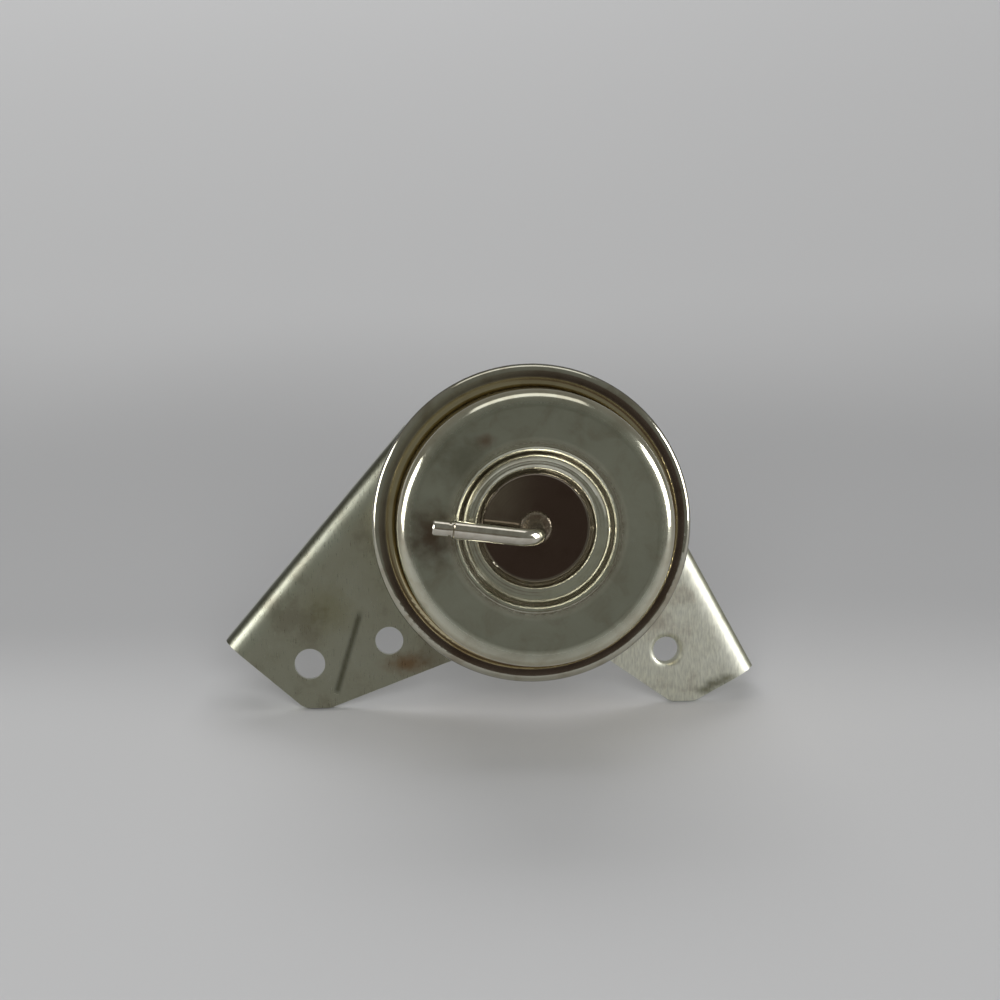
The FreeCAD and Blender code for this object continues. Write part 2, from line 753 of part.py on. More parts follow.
def build_bush_retainer():
    """Pressed cap that holds the bush in the boss, with its rim turned towards the piston."""
    body = new_body("bush_retainer")
    back = f"{BOSS_INSIDE} - Sizes.bush_length"
    front = f"{back} - Sizes.retainer_sheet"
    rim = f"{back} - Sizes.retainer_height"
    hole = "Sizes.rod_radius + Sizes.retainer_hole_clearance"
    inside = f"{BUSH_OUTSIDE} - Sizes.retainer_sheet"
    revolve(body, "cap", [
        (hole, front),
        (inside, front),
        (inside, rim),
        (BUSH_OUTSIDE, rim),
        (BUSH_OUTSIDE, back),
        (hole, back),
    ])
    return body


def hexagon(sketch, across, along, flats):
    """Six-sided outline about a centre, with two flats level."""
    corners = []
    for index in range(6):
        angle = f"{60 * index}"
        corners.append((
            f"{across} + {flats} / sqrt(3) * cos({angle})",
            f"{along} + {flats} / sqrt(3) * sin({angle})",
        ))
    draw_outline(sketch, corners)


def build_nut(label, front, height, flats, hole):
    """Hexagon nut on the can's axis, with its corners turned off at both ends."""
    body = new_body(label)
    outline = face_sketch(body, "flats", front)
    hexagon(outline, "0", "0", flats)
    pad_back(body, "hexagon", outline, height)
    near = f"({flats} / 2 - Sizes.nut_face_inset)"
    far = flats
    depth = f"({far} - {near}) * tan(Sizes.nut_chamfer_angle)"
    turn_away(body, "front_chamfer", [
        (near, front),
        (far, front),
        (far, f"{front} + {depth}"),
    ])
    back = f"{front} + {height}"
    turn_away(body, "back_chamfer", [
        (near, back),
        (far, f"{back} - {depth}"),
        (far, back),
    ])
    bore = face_sketch(body, "bore_outline", front)
    draw_circle(bore, "0", "0", hole)
    pocket_through(body, "bore", bore)
    return body


def build_lock_nut():
    front = f"{SHANK_START} - Sizes.lock_nut_height"
    return build_nut("lock_nut", front, "Sizes.lock_nut_height", "Sizes.nut_flats", ROD_THREAD_HOLE)


def build_rod_end():
    """Forged eye on a round shank that is bored for the rod's thread."""
    body = new_body("rod_end")
    root = f"{EYE_CENTRE} - Sizes.eye_bore_radius - Sizes.shank_root"
    bore_end = f"{SHANK_START} + Sizes.thread_engagement + Sizes.thread_runout"
    revolve(body, "shank", [
        ("0", SHANK_START),
        ("Sizes.shank_radius", SHANK_START),
        ("Sizes.shank_radius", f"{EYE_CENTRE} - Sizes.eye_radius"),
        ("Sizes.eye_thickness / 2", root),
        ("0", root),
    ])
    ring = new_sketch(body, "eye_outline", "YZ_Plane")
    draw_circle(ring, EYE_CENTRE, "0", "Sizes.eye_radius")
    eye = body.newObject("PartDesign::Pad", "eye")
    eye.Profile = ring
    eye.Midplane = True
    bind(eye, "Length", "Sizes.eye_thickness")
    doc.recompute()
    hole = new_sketch(body, "eye_bore_outline", "YZ_Plane")
    draw_circle(hole, EYE_CENTRE, "0", "Sizes.eye_bore_radius")
    pocket_through(body, "eye_bore", hole)
    turn_away(body, "thread_bore", [
        ("0", SHANK_START),
        (ROD_THREAD_HOLE, SHANK_START),
        (ROD_THREAD_HOLE, bore_end),
        ("0", bore_end),
    ])
    return body


def build_eye_bush():
    """Hardened bush in the eye, bored for the lever's pin."""
    body = new_body("eye_bush")
    rings = new_sketch(body, "rings", "YZ_Plane")
    draw_circle(rings, EYE_CENTRE, "0", "Sizes.eye_bore_radius - Sizes.eye_bush_fit")
    draw_circle(rings, EYE_CENTRE, "0", "Sizes.eye_bush_bore_radius")
    sleeve = body.newObject("PartDesign::Pad", "sleeve")
    sleeve.Profile = rings
    sleeve.Midplane = True
    bind(sleeve, "Length", "Sizes.eye_thickness")
    doc.recompute()
    return body


def pair_about_axis(label, piece):
    """One node of two separate solids: a piece and its twin across the can's axis."""
    twin = doc.addObject("Part::Mirroring", label + "_twin")
    twin.Source = piece
    twin.Normal = Vector(1, 0, 0)
    pair = doc.addObject("Part::Compound", label)
    pair.Label = label
    pair.Links = [piece, twin]
    doc.recompute()
    return pair


def build_cover_studs():
    """Studs that are welded to the lower cover and pass through the plate."""
    body = new_body("stud")
    outline = face_sketch(body, "stud_outline", PLATE_FRONT)
    draw_circle(outline, STUD_OFFSET, "0", "Sizes.stud_radius")
    pad_back(body, "shank", outline, "Sizes.stud_length")
    return pair_about_axis("cover_studs", body)


def build_stud_washers():
    """Split spring washers under the nuts."""
    body = new_body("split_washer")
    washer = "(Sizes.stud_radius + Sizes.washer_width)"
    rings = face_sketch(body, "rings", NUT_SEAT)
    draw_circle(rings, STUD_OFFSET, "0", washer)
    draw_circle(rings, STUD_OFFSET, "0", STUD_THREAD_HOLE)
    pad_back(body, "ring", rings, "Sizes.washer_thickness")
    split = face_sketch(body, "split_outline", NUT_SEAT)
    draw_outline(split, [
        (STUD_OFFSET, "-Sizes.washer_split / 2"),
        (f"{STUD_OFFSET} + 2 * {washer}", "-Sizes.washer_split / 2"),
        (f"{STUD_OFFSET} + 2 * {washer}", "Sizes.washer_split / 2"),
        (STUD_OFFSET, "Sizes.washer_split / 2"),
    ])
    pocket_through(body, "split", split)
    return pair_about_axis("stud_washers", body)


def build_stud_nuts():
    """Hexagon nuts that hold the bracket to the can."""
    front = f"({NUT_SEAT} + Sizes.washer_thickness)"
    nut = build_nut("nut", front, "Sizes.nut_height", "Sizes.nut_flats", STUD_THREAD_HOLE)
    bind(nut, "Placement.Base.x", STUD_OFFSET)
    return pair_about_axis("stud_nuts", nut)


def along_flange(side, out, along):
    """(x, z) of a point by its distance out from the axis and its way down a bend line."""
    angle = f"Sizes.{side}_flange_angle"
    sign = "-" if side == "left" else ""
    across = f"{sign}(({out}) * sin({angle}) + ({along}) * cos({angle}))"
    up = f"({out}) * cos({angle}) - ({along}) * sin({angle})"
    return across, up


def plate_corners():
    """Outline of the bracket's plate, from the left flange's lower end, against the clock."""
    left_out = "Sizes.left_flange_distance"
    right_out = "Sizes.right_flange_distance"
    foot = "-Sizes.foot_drop"
    left_end = along_flange("left", left_out, "Sizes.left_flange_reach")
    right_end = along_flange("right", right_out, "Sizes.right_flange_reach")
    left_width = f"(Sizes.foot_drop + ({left_end[1]})) / cos(Sizes.left_flange_angle)"
    right_width = f"(Sizes.foot_drop + ({right_end[1]})) / cos(Sizes.right_flange_angle)"
    left_foot_x = f"({left_end[0]}) + ({left_width}) * sin(Sizes.left_flange_angle)"
    right_foot_x = f"({right_end[0]}) - ({right_width}) * sin(Sizes.right_flange_angle)"
    right_top = "-(Sizes.right_flange_top)"
    notch_x = (
        "(Sizes.left_foot_x * Sizes.left_edge_slope + Sizes.right_foot_x * Sizes.right_edge_slope)"
        " / (Sizes.left_edge_slope + Sizes.right_edge_slope)"
    )
    notch_z = f"-Sizes.foot_drop + ({notch_x} - Sizes.left_foot_x) * Sizes.left_edge_slope"
    inset = "Sizes.bend_radius + Sizes.flange_relief"
    return {
        "left_end": left_end,
        "left_foot_outer": (left_foot_x, foot),
        "left_foot_inner": ("Sizes.left_foot_x", foot),
        "notch": (notch_x, notch_z),
        "right_foot_inner": ("Sizes.right_foot_x", foot),
        "right_foot_outer": (right_foot_x, foot),
        "right_end": right_end,
        "right_top": along_flange("right", right_out, right_top),
        "right_top_inner": along_flange("right", f"{right_out} - {inset}", right_top),
        "top_right": ("Sizes.plate_top_right", "Sizes.plate_top"),
        "top_left": ("Sizes.plate_top_left", "Sizes.plate_top"),
        "left_top_inner": along_flange("left", f"{left_out} - {inset}", "Sizes.left_flange_top"),
        "left_top": along_flange("left", left_out, "Sizes.left_flange_top"),
    }


def add_flange(body, side):
    """Leg of a folded edge, square to the plate; the bend is rounded afterwards."""
    out = f"Sizes.{side}_flange_distance"
    under = f"Sizes.{side}_flange_distance - Sizes.bracket_sheet"
    top = "Sizes.left_flange_top" if side == "left" else "-(Sizes.right_flange_top)"
    reach = f"Sizes.{side}_flange_reach"
    sketch = face_sketch(body, f"{side}_flange_outline", PLATE_FRONT)
    draw_outline(sketch, [
        along_flange(side, out, top),
        along_flange(side, out, reach),
        along_flange(side, under, reach),
        along_flange(side, under, top),
    ])
    pad_back(body, f"{side}_flange", sketch, f"Sizes.{side}_flange_depth")


def bend_edge(shape, side, out, station):
    """Name of the straight edge of a bend, by its distance out and its station."""
    spots = [along_flange(side, out, reach) for reach in ("0", f"Sizes.{side}_flange_reach")]
    ends = [Vector(size(across), size(station), size(up)) for across, up in spots]
    direction = (ends[1] - ends[0]).normalize()
    names = []
    for index, edge in enumerate(shape.Edges, start=1):
        if not isinstance(edge.Curve, Part.Line):
            continue
        away = edge.Vertexes[0].Point - ends[0]
        along_bend = edge.Curve.Direction.cross(direction).Length < NEAR
        if along_bend and away.cross(direction).Length < NEAR:
            names.append(f"Edge{index}")
    return names


def strip_corners(start, end, width):
    """Corners of a straight strip of a width between two (x, z) places."""
    run = f"({end[0]} - {start[0]})"
    rise = f"({end[1]} - {start[1]})"
    length = f"sqrt({run} ^ 2 + {rise} ^ 2)"
    across = f"{rise} / {length} * {width} / 2"
    up = f"{run} / {length} * {width} / 2"
    return [
        (f"{start[0]} + {across}", f"{start[1]} - {up}"),
        (f"{end[0]} + {across}", f"{end[1]} - {up}"),
        (f"{end[0]} - {across}", f"{end[1]} + {up}"),
        (f"{start[0]} - {across}", f"{start[1]} + {up}"),
    ]


def cut_back(body, name, sketch, depth):
    """Cut a face sketch towards the rod by a depth."""
    before = body.Shape.Volume
    feature = body.newObject("PartDesign::Pocket", name)
    feature.Profile = sketch
    bind(feature, "Length", depth)
    doc.recompute()
    assert body.Shape.Volume < before, name
    return feature


def flared_mouth(shape):
    """Name of the edge where the drawn-through hole meets the plate's front."""
    centre = Vector(size("Sizes.right_hole_x"), size(PLATE_FRONT), size("Sizes.right_hole_z"))
    names = []
    for index, edge in enumerate(shape.Edges, start=1):
        if isinstance(edge.Curve, Part.Circle) and edge.Curve.Center.distanceToPoint(centre) < NEAR:
            names.append(f"Edge{index}")
    return names


def build_bracket():
    """Pressed plate on two feet, with both outer edges folded back."""
    body = new_body("bracket")
    corners = plate_corners()
    outline = face_sketch(body, "plate_outline", PLATE_FRONT)
    draw_outline(outline, list(corners.values()))
    pad_back(body, "plate", outline, "Sizes.bracket_sheet")
    feet = ("left_foot_outer", "left_foot_inner", "right_foot_inner", "right_foot_outer")
    tops = ("top_right", "top_left", "left_top_inner", "right_top_inner")
    for name, places, rounding in (
        ("feet", feet, "Sizes.foot_rounding"),
        ("notch", ("notch",), "Sizes.notch_rounding"),
        ("tops", tops, "Sizes.corner_rounding"),
    ):
        edges = corner_edges(body.Tip.Shape, [corners[place] for place in places])
        round_edges(body, name + "_rounded", rounding, edges)
    for side in ("left", "right"):
        add_flange(body, side)
    for side in ("left", "right"):
        out = f"Sizes.{side}_flange_distance"
        outer = bend_edge(body.Tip.Shape, side, out, PLATE_FRONT)
        round_edges(body, f"{side}_bend_outside", "Sizes.bend_radius", outer)
        inner = bend_edge(body.Tip.Shape, side, f"{out} - Sizes.bracket_sheet", PLATE_BACK)
        round_edges(body, f"{side}_bend_inside", "Sizes.bend_radius - Sizes.bracket_sheet", inner)
    collar = face_sketch(body, "extruded_outline", PLATE_FRONT)
    collar_radius = "Sizes.right_hole_radius + Sizes.extruded_wall"
    draw_circle(collar, "Sizes.right_hole_x", "Sizes.right_hole_z", collar_radius)
    pad_back(body, "extruded_collar", collar, "Sizes.bracket_sheet + Sizes.extruded_height")
    seats = face_sketch(body, "nut_seats_outline", NUT_SEAT)
    holes = face_sketch(body, "holes_outline", PLATE_FRONT)
    draw_circle(holes, "0", "0", "Sizes.boss_radius + Sizes.plate_hole_clearance")
    for name in ("outer", "inner", "right"):
        draw_circle(holes, f"Sizes.{name}_hole_x", f"Sizes.{name}_hole_z", f"Sizes.{name}_hole_radius")
    for offset in (STUD_OFFSET, f"-{STUD_OFFSET}"):
        draw_circle(seats, offset, "0", "Sizes.nut_flats / sqrt(3) + Sizes.coined_margin")
        draw_circle(holes, offset, "0", "Sizes.stud_radius + Sizes.stud_hole_clearance")
    cut_back(body, "coined_nut_seats", seats, "Sizes.coined_depth")
    pocket_through(body, "holes", holes)
    mouth = flared_mouth(body.Tip.Shape)
    round_edges(body, "flared_mouth", "Sizes.extruded_wall", mouth)
    crease = face_sketch(body, "crease_outline", PLATE_FRONT)
    crease_top = ("Sizes.crease_top_x", "Sizes.crease_top_z")
    crease_foot = ("Sizes.crease_foot_x", "Sizes.crease_foot_z")
    draw_outline(crease, strip_corners(crease_top, crease_foot, "Sizes.crease_width"))
    cut_back(body, "crease", crease, "Sizes.crease_depth")
    return body


PIECES = [
    build_upper_cover(),
    build_lower_cover(),
    build_vacuum_nipple(),
    build_nipple_collar(),
    build_diaphragm(),
    build_piston_cup(),
    build_support_plate(),
    build_clamp_washer(),
    build_rest_bumper(),
    build_return_spring(),
    build_actuator_rod(),
    build_guide_bush(),
    build_wiper_ring(),
    build_bush_retainer(),
    build_bracket(),
    build_cover_studs(),
    build_stud_washers(),
    build_stud_nuts(),
    build_lock_nut(),
    build_rod_end(),
    build_eye_bush(),
]
doc.recompute()


def lean_angle():
    """Angle at which the bracket's feet and the rod's eye stand on one floor."""
    drop = size("Sizes.foot_drop")
    reach = size("Sizes.rod_reach")
    eye = size("Sizes.eye_radius")
    return math.degrees(math.acos(eye / math.hypot(drop, reach)) - math.atan2(reach, drop))


def stance():
    """Placement that leans the actuator back and sets the middle of its base at the origin."""
    lean = Placement(Vector(), Rotation(Vector(1, 0, 0), -lean_angle()))
    whole = FreeCAD.BoundBox()
    for piece in PIECES:
        shape = piece.Shape.copy()
        shape.Placement = lean.multiply(shape.Placement)
        whole.add(shape.optimalBoundingBox(False))
    shift = Vector(-whole.Center.x, -whole.Center.y, -whole.ZMin)
    return Placement(shift, lean.Rotation)


standing = stance()
for piece in PIECES:
    piece.Placement = standing.multiply(piece.Placement)
doc.recompute()

for item in doc.Objects:
    state = set(getattr(item, "State", []))
    assert not state & {"Invalid", "Error"}, (item.Label, item.State)
for piece in PIECES:
    assert not piece.Shape.isNull() and piece.Shape.isValid(), piece.Label

os.makedirs("parts", exist_ok=True)
for piece in PIECES:
    piece.Shape.exportStep(os.path.join("parts", piece.Label + ".step"))
print("lean angle", round(lean_angle(), 3), "stance", standing)
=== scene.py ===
# %% [markdown]
# # Turbo actuator: the looks
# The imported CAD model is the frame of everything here: each of its nodes is already a mesh in
# metres, in its place. This script gives every node the finish of its real material, cuts the
# studs' threads, which CAD leaves plain, and sets up a floor, soft lights and the camera.

import json
import math

import bmesh
import bpy
from mathutils import Euler, Matrix, Vector


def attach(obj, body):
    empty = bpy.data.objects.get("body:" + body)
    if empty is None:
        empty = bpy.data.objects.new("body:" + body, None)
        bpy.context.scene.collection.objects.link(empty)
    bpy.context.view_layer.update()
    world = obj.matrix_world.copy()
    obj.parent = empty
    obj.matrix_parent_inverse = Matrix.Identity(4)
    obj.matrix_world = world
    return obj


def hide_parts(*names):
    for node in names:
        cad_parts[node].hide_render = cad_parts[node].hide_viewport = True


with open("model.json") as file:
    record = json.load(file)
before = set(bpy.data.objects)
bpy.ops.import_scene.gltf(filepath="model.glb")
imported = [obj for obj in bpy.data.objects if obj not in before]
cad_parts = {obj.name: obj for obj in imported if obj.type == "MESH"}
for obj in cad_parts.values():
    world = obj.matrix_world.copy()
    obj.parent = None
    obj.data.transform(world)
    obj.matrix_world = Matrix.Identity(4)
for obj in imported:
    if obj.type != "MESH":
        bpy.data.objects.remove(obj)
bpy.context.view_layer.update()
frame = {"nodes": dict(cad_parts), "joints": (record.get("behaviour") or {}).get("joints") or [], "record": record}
NODES = frame["nodes"]

# %% [markdown]
# ## The actuator's own axes
# The whole part leans back on its bracket's feet and its rod's eye, so its round pieces aren't
# square to the floor. Patterns and new pieces are easier to describe in the can's own axes: Y
# along the can, X to the right, Z up, millimetres, and zero in the middle of the crimped rim.
# The slide joint gives the axis, and the eye's mount gives a point on it.

# %% Own axes
MM = 0.001
EYE_STATION = 130.3 * MM


def mount_named(name):
    """One of the record's mounts."""
    return next(mount for mount in frame["record"]["mounts"] if mount["name"] == name)


slide = next(joint for joint in frame["joints"] if joint["name"] == "rod_slide")
inward = Vector(slide["axis"])
LEAN = math.atan2(inward.z, -inward.y)
RIM_CENTRE = Vector(mount_named("lever_pin_eye")["pos_m"]) + inward * EYE_STATION
OWN_TO_ROW = Matrix.Translation(RIM_CENTRE) @ Euler((-LEAN, 0, 0)).to_matrix().to_4x4()
print("lean", round(math.degrees(LEAN), 3), "degrees, rim centre", RIM_CENTRE)

# %% [markdown]
# ## One helper for nodes
# A Blender material is a small network. This helper adds one node: its inputs are values or
# other nodes' outputs, its settings are properties, and a colour ramp also takes its stops.
# Colours are written as the hex values that a picture editor shows, and turned to linear,
# because light adds up in linear numbers and not in a screen's.

# %% Colour and node helpers


def linear(hex_colour):
    """A linear RGBA colour from an sRGB hex value such as '#80a0ff'."""
    channels = [int(hex_colour[place:place + 2], 16) / 255 for place in (1, 3, 5)]
    return [c / 12.92 if c <= 0.04045 else ((c + 0.055) / 1.055) ** 2.4 for c in channels] + [1.0]


def add(tree, kind, inputs=None, stops=None, **settings):
    """Add a node; each input is a value, a hex colour or another node's output."""
    node = tree.nodes.new(kind)
    for name, value in settings.items():
        setattr(node, name, value)
    for key, value in (inputs or {}).items():
        if isinstance(value, bpy.types.NodeSocket):
            tree.links.new(value, node.inputs[key])
        else:
            node.inputs[key].default_value = linear(value) if isinstance(value, str) else value
    if stops:
        ramp = node.color_ramp
        while len(ramp.elements) < len(stops):
            ramp.elements.new(1.0)
        for element, (place, value) in zip(ramp.elements, stops):
            element.position = place
            element.color = linear(value) if isinstance(value, str) else (value, value, value, 1)
    return node


print("mid grey as light:", [round(share, 3) for share in linear("#808080")])

# %% [markdown]
# ## Starting and finishing a material
# Every material starts as an empty network and reads the surface point in the can's own axes.
# Object coordinates are used and not generated ones, because they stay in metres, so a
# pattern's grain can be given its real size. A CAD node then takes the material in its slot.

# %% Material helpers


def new_material(name):
    """An empty material and its node tree."""
    material = bpy.data.materials.new(name)
    material.use_nodes = True
    material.node_tree.nodes.clear()
    return material, material.node_tree


def own_millimetres(tree):
    """The surface point in the actuator's own axes, in millimetres."""
    place = add(tree, "ShaderNodeTexCoord")
    own = add(tree, "ShaderNodeMapping", {
        "Vector": place.outputs["Object"],
        "Location": RIM_CENTRE,
        "Rotation": (-LEAN, 0, 0),
        "Scale": (MM, MM, MM),
    }, vector_type="TEXTURE")
    return own.outputs["Vector"]


def dress(node_name, material):
    """Give a CAD node its material."""
    mesh = NODES[node_name].data
    mesh.materials.clear()
    mesh.materials.append(material)
    print(node_name, "->", material.name)


print("patterns start", round(RIM_CENTRE.z / MM, 2), "mm up, in the middle of the rim")

# %% [markdown]
# ## Distance and direction from the can's axis
# The covers are pressed by round tools, so their finish changes with the distance from the axis
# and their fine marks run round it. The distance drives the colour ramps. The direction away
# from the axis is across the marks, and the shader stretches its highlights that way.

# %% Round the axis
SPAN = 40.0


def across(tree, own):
    """Distance from the can's axis as a share of the span in millimetres."""
    flat = add(tree, "ShaderNodeVectorMath", {0: own, 1: (1, 0, 1)}, operation="MULTIPLY")
    length = add(tree, "ShaderNodeVectorMath", {0: flat.outputs["Vector"]}, operation="LENGTH")
    share = add(tree, "ShaderNodeMath", {0: length.outputs["Value"], 1: SPAN}, operation="DIVIDE")
    return share.outputs[0]


def across_marks(tree):
    """Direction away from the can's axis, which is across the tool marks that run round it."""
    place = add(tree, "ShaderNodeTexCoord")
    arm = add(tree, "ShaderNodeVectorMath", {
        0: place.outputs["Object"], 1: RIM_CENTRE}, operation="SUBTRACT")
    unit = add(tree, "ShaderNodeVectorMath", {0: arm.outputs["Vector"]}, operation="NORMALIZE")
    return unit.outputs["Vector"]


def on_span(stops):
    """Ramp stops given in millimetres, as shares of the span."""
    return [(millimetres / SPAN, value) for millimetres, value in stops]


print("ramps reach from the axis to", SPAN, "mm")

# %% [markdown]
# ## Stains
# Handling leaves soft brown and grey spots on plated steel. Each is a stretched ball round a
# point, whose edge is made ragged by noise, laid over the colour under it. Noise alone could
# spread stains, but not put one where the real part has it.

# %% Stain helper
STAIN_RAG = 0.9
RAGS_PER_MM = 0.5


def stained(tree, own, colour, patches):
    """Lay soft patches over a colour; each is its middle's X and Z, its size and its tint."""
    for x, z, width, height, tint in patches:
        near = add(tree, "ShaderNodeMapping", {
            "Vector": own, "Location": (x, 0, z), "Scale": (width, 1e6, height)},
            vector_type="TEXTURE")
        far = add(tree, "ShaderNodeVectorMath", {0: near.outputs["Vector"]}, operation="LENGTH")
        ragged = add(tree, "ShaderNodeTexNoise", {
            "Vector": own, "Scale": RAGS_PER_MM, "Detail": 4.0})
        edge = add(tree, "ShaderNodeMath", {
            0: ragged.outputs["Fac"], 1: STAIN_RAG, 2: far.outputs["Value"]},
            operation="MULTIPLY_ADD")
        share = add(tree, "ShaderNodeMapRange", {
            "Value": edge.outputs[0], "From Min": 0.4, "From Max": 1.6, "To Min": 1.0,
            "To Max": 0.0}, interpolation_type="SMOOTHSTEP")
        laid = add(tree, "ShaderNodeMix", {
            "Factor": share.outputs["Result"], 6: colour, 7: tint},
            data_type="RGBA", blend_type="MULTIPLY")
        colour = laid.outputs[2]
    return colour


print("a stain's edge wanders by up to", STAIN_RAG, "of its size")

# %% [markdown]
# ## The can: deep-drawn plated steel
# The dome is pressed from bright plated sheet. Drawing leaves the flat ring satin and cloudy,
# the punch leaves the recess floor almost a mirror, and the bends are burnished between them.
# One recipe does it all: roughness and colour follow the distance from the axis, with noise for
# the clouds and very thin rings for the tool marks. The slope of the recess mirrors rings of
# light and dark on the real one. A bump that tilts the shading in rings gives them, where the
# plain slope would show one tone.

# %% Marks in drawn steel
# Real tool marks are finer than a pixel here, so they are drawn coarser, to show.
RINGS_IN_SPAN = 130.0
RING_DEPTH = 0.01
PORE_DEPTH = 0.01
PRESS_DEPTH = 2.0


def drawn_skin(tree, own, share, pores, press_stops):
    """Rings, pores and pressed waves, each laid over the one before it."""
    ring = add(tree, "ShaderNodeTexNoise", {"W": share, "Scale": RINGS_IN_SPAN, "Detail": 4.0},
               noise_dimensions="1D")
    marks = add(tree, "ShaderNodeBump", {
        "Strength": 0.25, "Distance": RING_DEPTH * MM, "Height": ring.outputs["Fac"]})
    skin = add(tree, "ShaderNodeBump", {
        "Strength": 0.12, "Distance": PORE_DEPTH * MM, "Height": pores,
        "Normal": marks.outputs["Normal"]})
    wave = add(tree, "ShaderNodeValToRGB", {"Fac": share}, stops=on_span(press_stops))
    wave.color_ramp.interpolation = "B_SPLINE"
    pressed_in = add(tree, "ShaderNodeBump", {
        "Strength": 1.0, "Distance": PRESS_DEPTH * MM, "Height": wave.outputs["Color"],
        "Normal": skin.outputs["Normal"]})
    return pressed_in.outputs["Normal"]


print("tool marks", round(SPAN / RINGS_IN_SPAN, 2), "mm apart")

# %% Drawn steel recipe
CLOUDS_PER_MM = 0.16
# Real pores are finer than a pixel too, and these are as coarse as they need to be to show.
PORES_PER_MM = 1.4
LEVEL = 0.5
UNPRESSED = ((0.0, LEVEL), (SPAN, LEVEL))


def drawn_steel(name, colour_stops, roughness_stops, clouds=0.35, patches=(),
                press_stops=UNPRESSED):
    """Pressed plated steel whose finish follows the distance from the can's axis."""
    material, tree = new_material(name)
    own = own_millimetres(tree)
    share = across(tree, own)
    colour = add(tree, "ShaderNodeValToRGB", {"Fac": share}, stops=on_span(colour_stops))
    rough = add(tree, "ShaderNodeValToRGB", {"Fac": share}, stops=on_span(roughness_stops))
    cloud = add(tree, "ShaderNodeTexNoise", {
        "Vector": own, "Scale": CLOUDS_PER_MM, "Detail": 6.0, "Roughness": 0.62,
        "Distortion": 0.5})
    stain = add(tree, "ShaderNodeValToRGB", {"Fac": cloud.outputs["Fac"]},
                stops=[(0.34, "#c4b6a4"), (0.5, "#f2f0ea"), (0.7, "#ffffff")])
    clouded = add(tree, "ShaderNodeMix", {
        "Factor": clouds, 6: colour.outputs["Color"], 7: stain.outputs["Color"]},
        data_type="RGBA", blend_type="MULTIPLY")
    pores = add(tree, "ShaderNodeTexNoise", {
        "Vector": own, "Scale": PORES_PER_MM, "Detail": 5.0, "Roughness": 0.7})
    spread = add(tree, "ShaderNodeMapRange", {
        "Value": pores.outputs["Fac"], "From Min": 0.3, "From Max": 0.7, "To Min": 0.9,
        "To Max": 1.1})
    uneven = add(tree, "ShaderNodeMath", {
        0: rough.outputs["Color"], 1: spread.outputs["Result"]}, operation="MULTIPLY")
    surface = add(tree, "ShaderNodeBsdfPrincipled", {
        "Base Color": stained(tree, own, clouded.outputs[2], patches), "Metallic": 1.0,
        "Anisotropic": 0.3, "Tangent": across_marks(tree), "Roughness": uneven.outputs[0],
        "Normal": drawn_skin(tree, own, share, pores.outputs["Fac"], press_stops)})
    add(tree, "ShaderNodeOutputMaterial", {"Surface": surface.outputs["BSDF"]})
    return material


print("pore size", round(1 / PORES_PER_MM, 2), "mm, cloud size", 1 / CLOUDS_PER_MM, "mm")

# %% [markdown]
# ## The dome's finish
# The stops are millimetres from the axis: the recess floor ends at 12, its slope at 18, the
# satin ring at 27, and the burnished shoulder goes on to the wall. The eye gets a dark mirror in
# the middle, pale rings round it, a cloudy grey ring and a bright edge. Three stains sit where
# the real dome has them.

# %% Dome
# Plated steel as the punch left it: a dark mirror, pale rings, cloudy satin and a bright edge.
DOME_COLOURS = [
    (0.0, "#8d8378"),
    (11.6, "#8d8378"),
    (12.2, "#d8d8c8"),
    (18.3, "#cccdbc"),
    (20.0, "#a8aa9a"),
    (26.5, "#a2a494"),
    (28.6, "#d0cfbe"),
    (31.5, "#c4b896"),
]
DOME_ROUGHNESS = [
    (0.0, 0.06),
    (11.6, 0.07),
    (12.2, 0.13),
    (17.6, 0.15),
    (19.5, 0.4),
    (26.0, 0.42),
    (28.2, 0.15),
    (30.5, 0.12),
]
DOME_STAINS = [
    (-22.5, -1.0, 7.5, 8.0, "#a08c84"),
    (-10.8, 19.0, 2.6, 2.2, "#d6bfb8"),
    (-15.0, 14.0, 8.0, 8.0, "#d2d0ca"),
]
RECESS_WAVES = [
    (0.0, 0.85),
    (11.8, 0.85),
    (12.3, 0.82),
    (13.0, 0.66),
    (13.8, LEVEL),
    (14.7, LEVEL),
    (15.8, 0.33),
    (17.0, 0.68),
    (18.1, LEVEL),
    (SPAN, LEVEL),
]
dome_steel = drawn_steel("drawn_plated_steel_dome", DOME_COLOURS, DOME_ROUGHNESS,
                         patches=DOME_STAINS, press_stops=RECESS_WAVES)
dress("upper_cover", dome_steel)

# %% [markdown]
# ## The rolled rim's finish
# The lower cover's edge is rolled over the dome's flange, and rolling polishes it. Its colour carries painted
# reflections: two thin golden lines at its inner edge with a dark line between them, a darker band on the flat lip
# and a paler one on its rounded edge. The outermost edge is painted dark, and draws a thin outline round the can.

# %% Rim
# The same plated steel, rolled and polished, with painted reflections: golden lines at its inner edge and a
# painted dark outer edge.
RIM_PAINTED_REFLECTIONS = [
    (0.0, "#a0a193"),
    (30.4, "#f0e4c6"),
    (31.2, "#f0e4c6"),
    (31.45, "#7a705c"),
    (31.7, "#f4ead0"),
    (32.3, "#f4ead0"),
    (32.7, "#8c877c"),
    (33.0, "#8c877c"),
    (34.5, "#c2c0b2"),
    (35.2, "#c2c0b2"),
    (35.45, "#6c6b62"),
]
RIM_ROUGHNESS = [(0.0, 0.3), (30.0, 0.3), (32.0, 0.11), (34.5, 0.12)]
rim_steel = drawn_steel("rolled_plated_steel_rim", RIM_PAINTED_REFLECTIONS, RIM_ROUGHNESS, clouds=0.6)
dress("lower_cover", rim_steel)
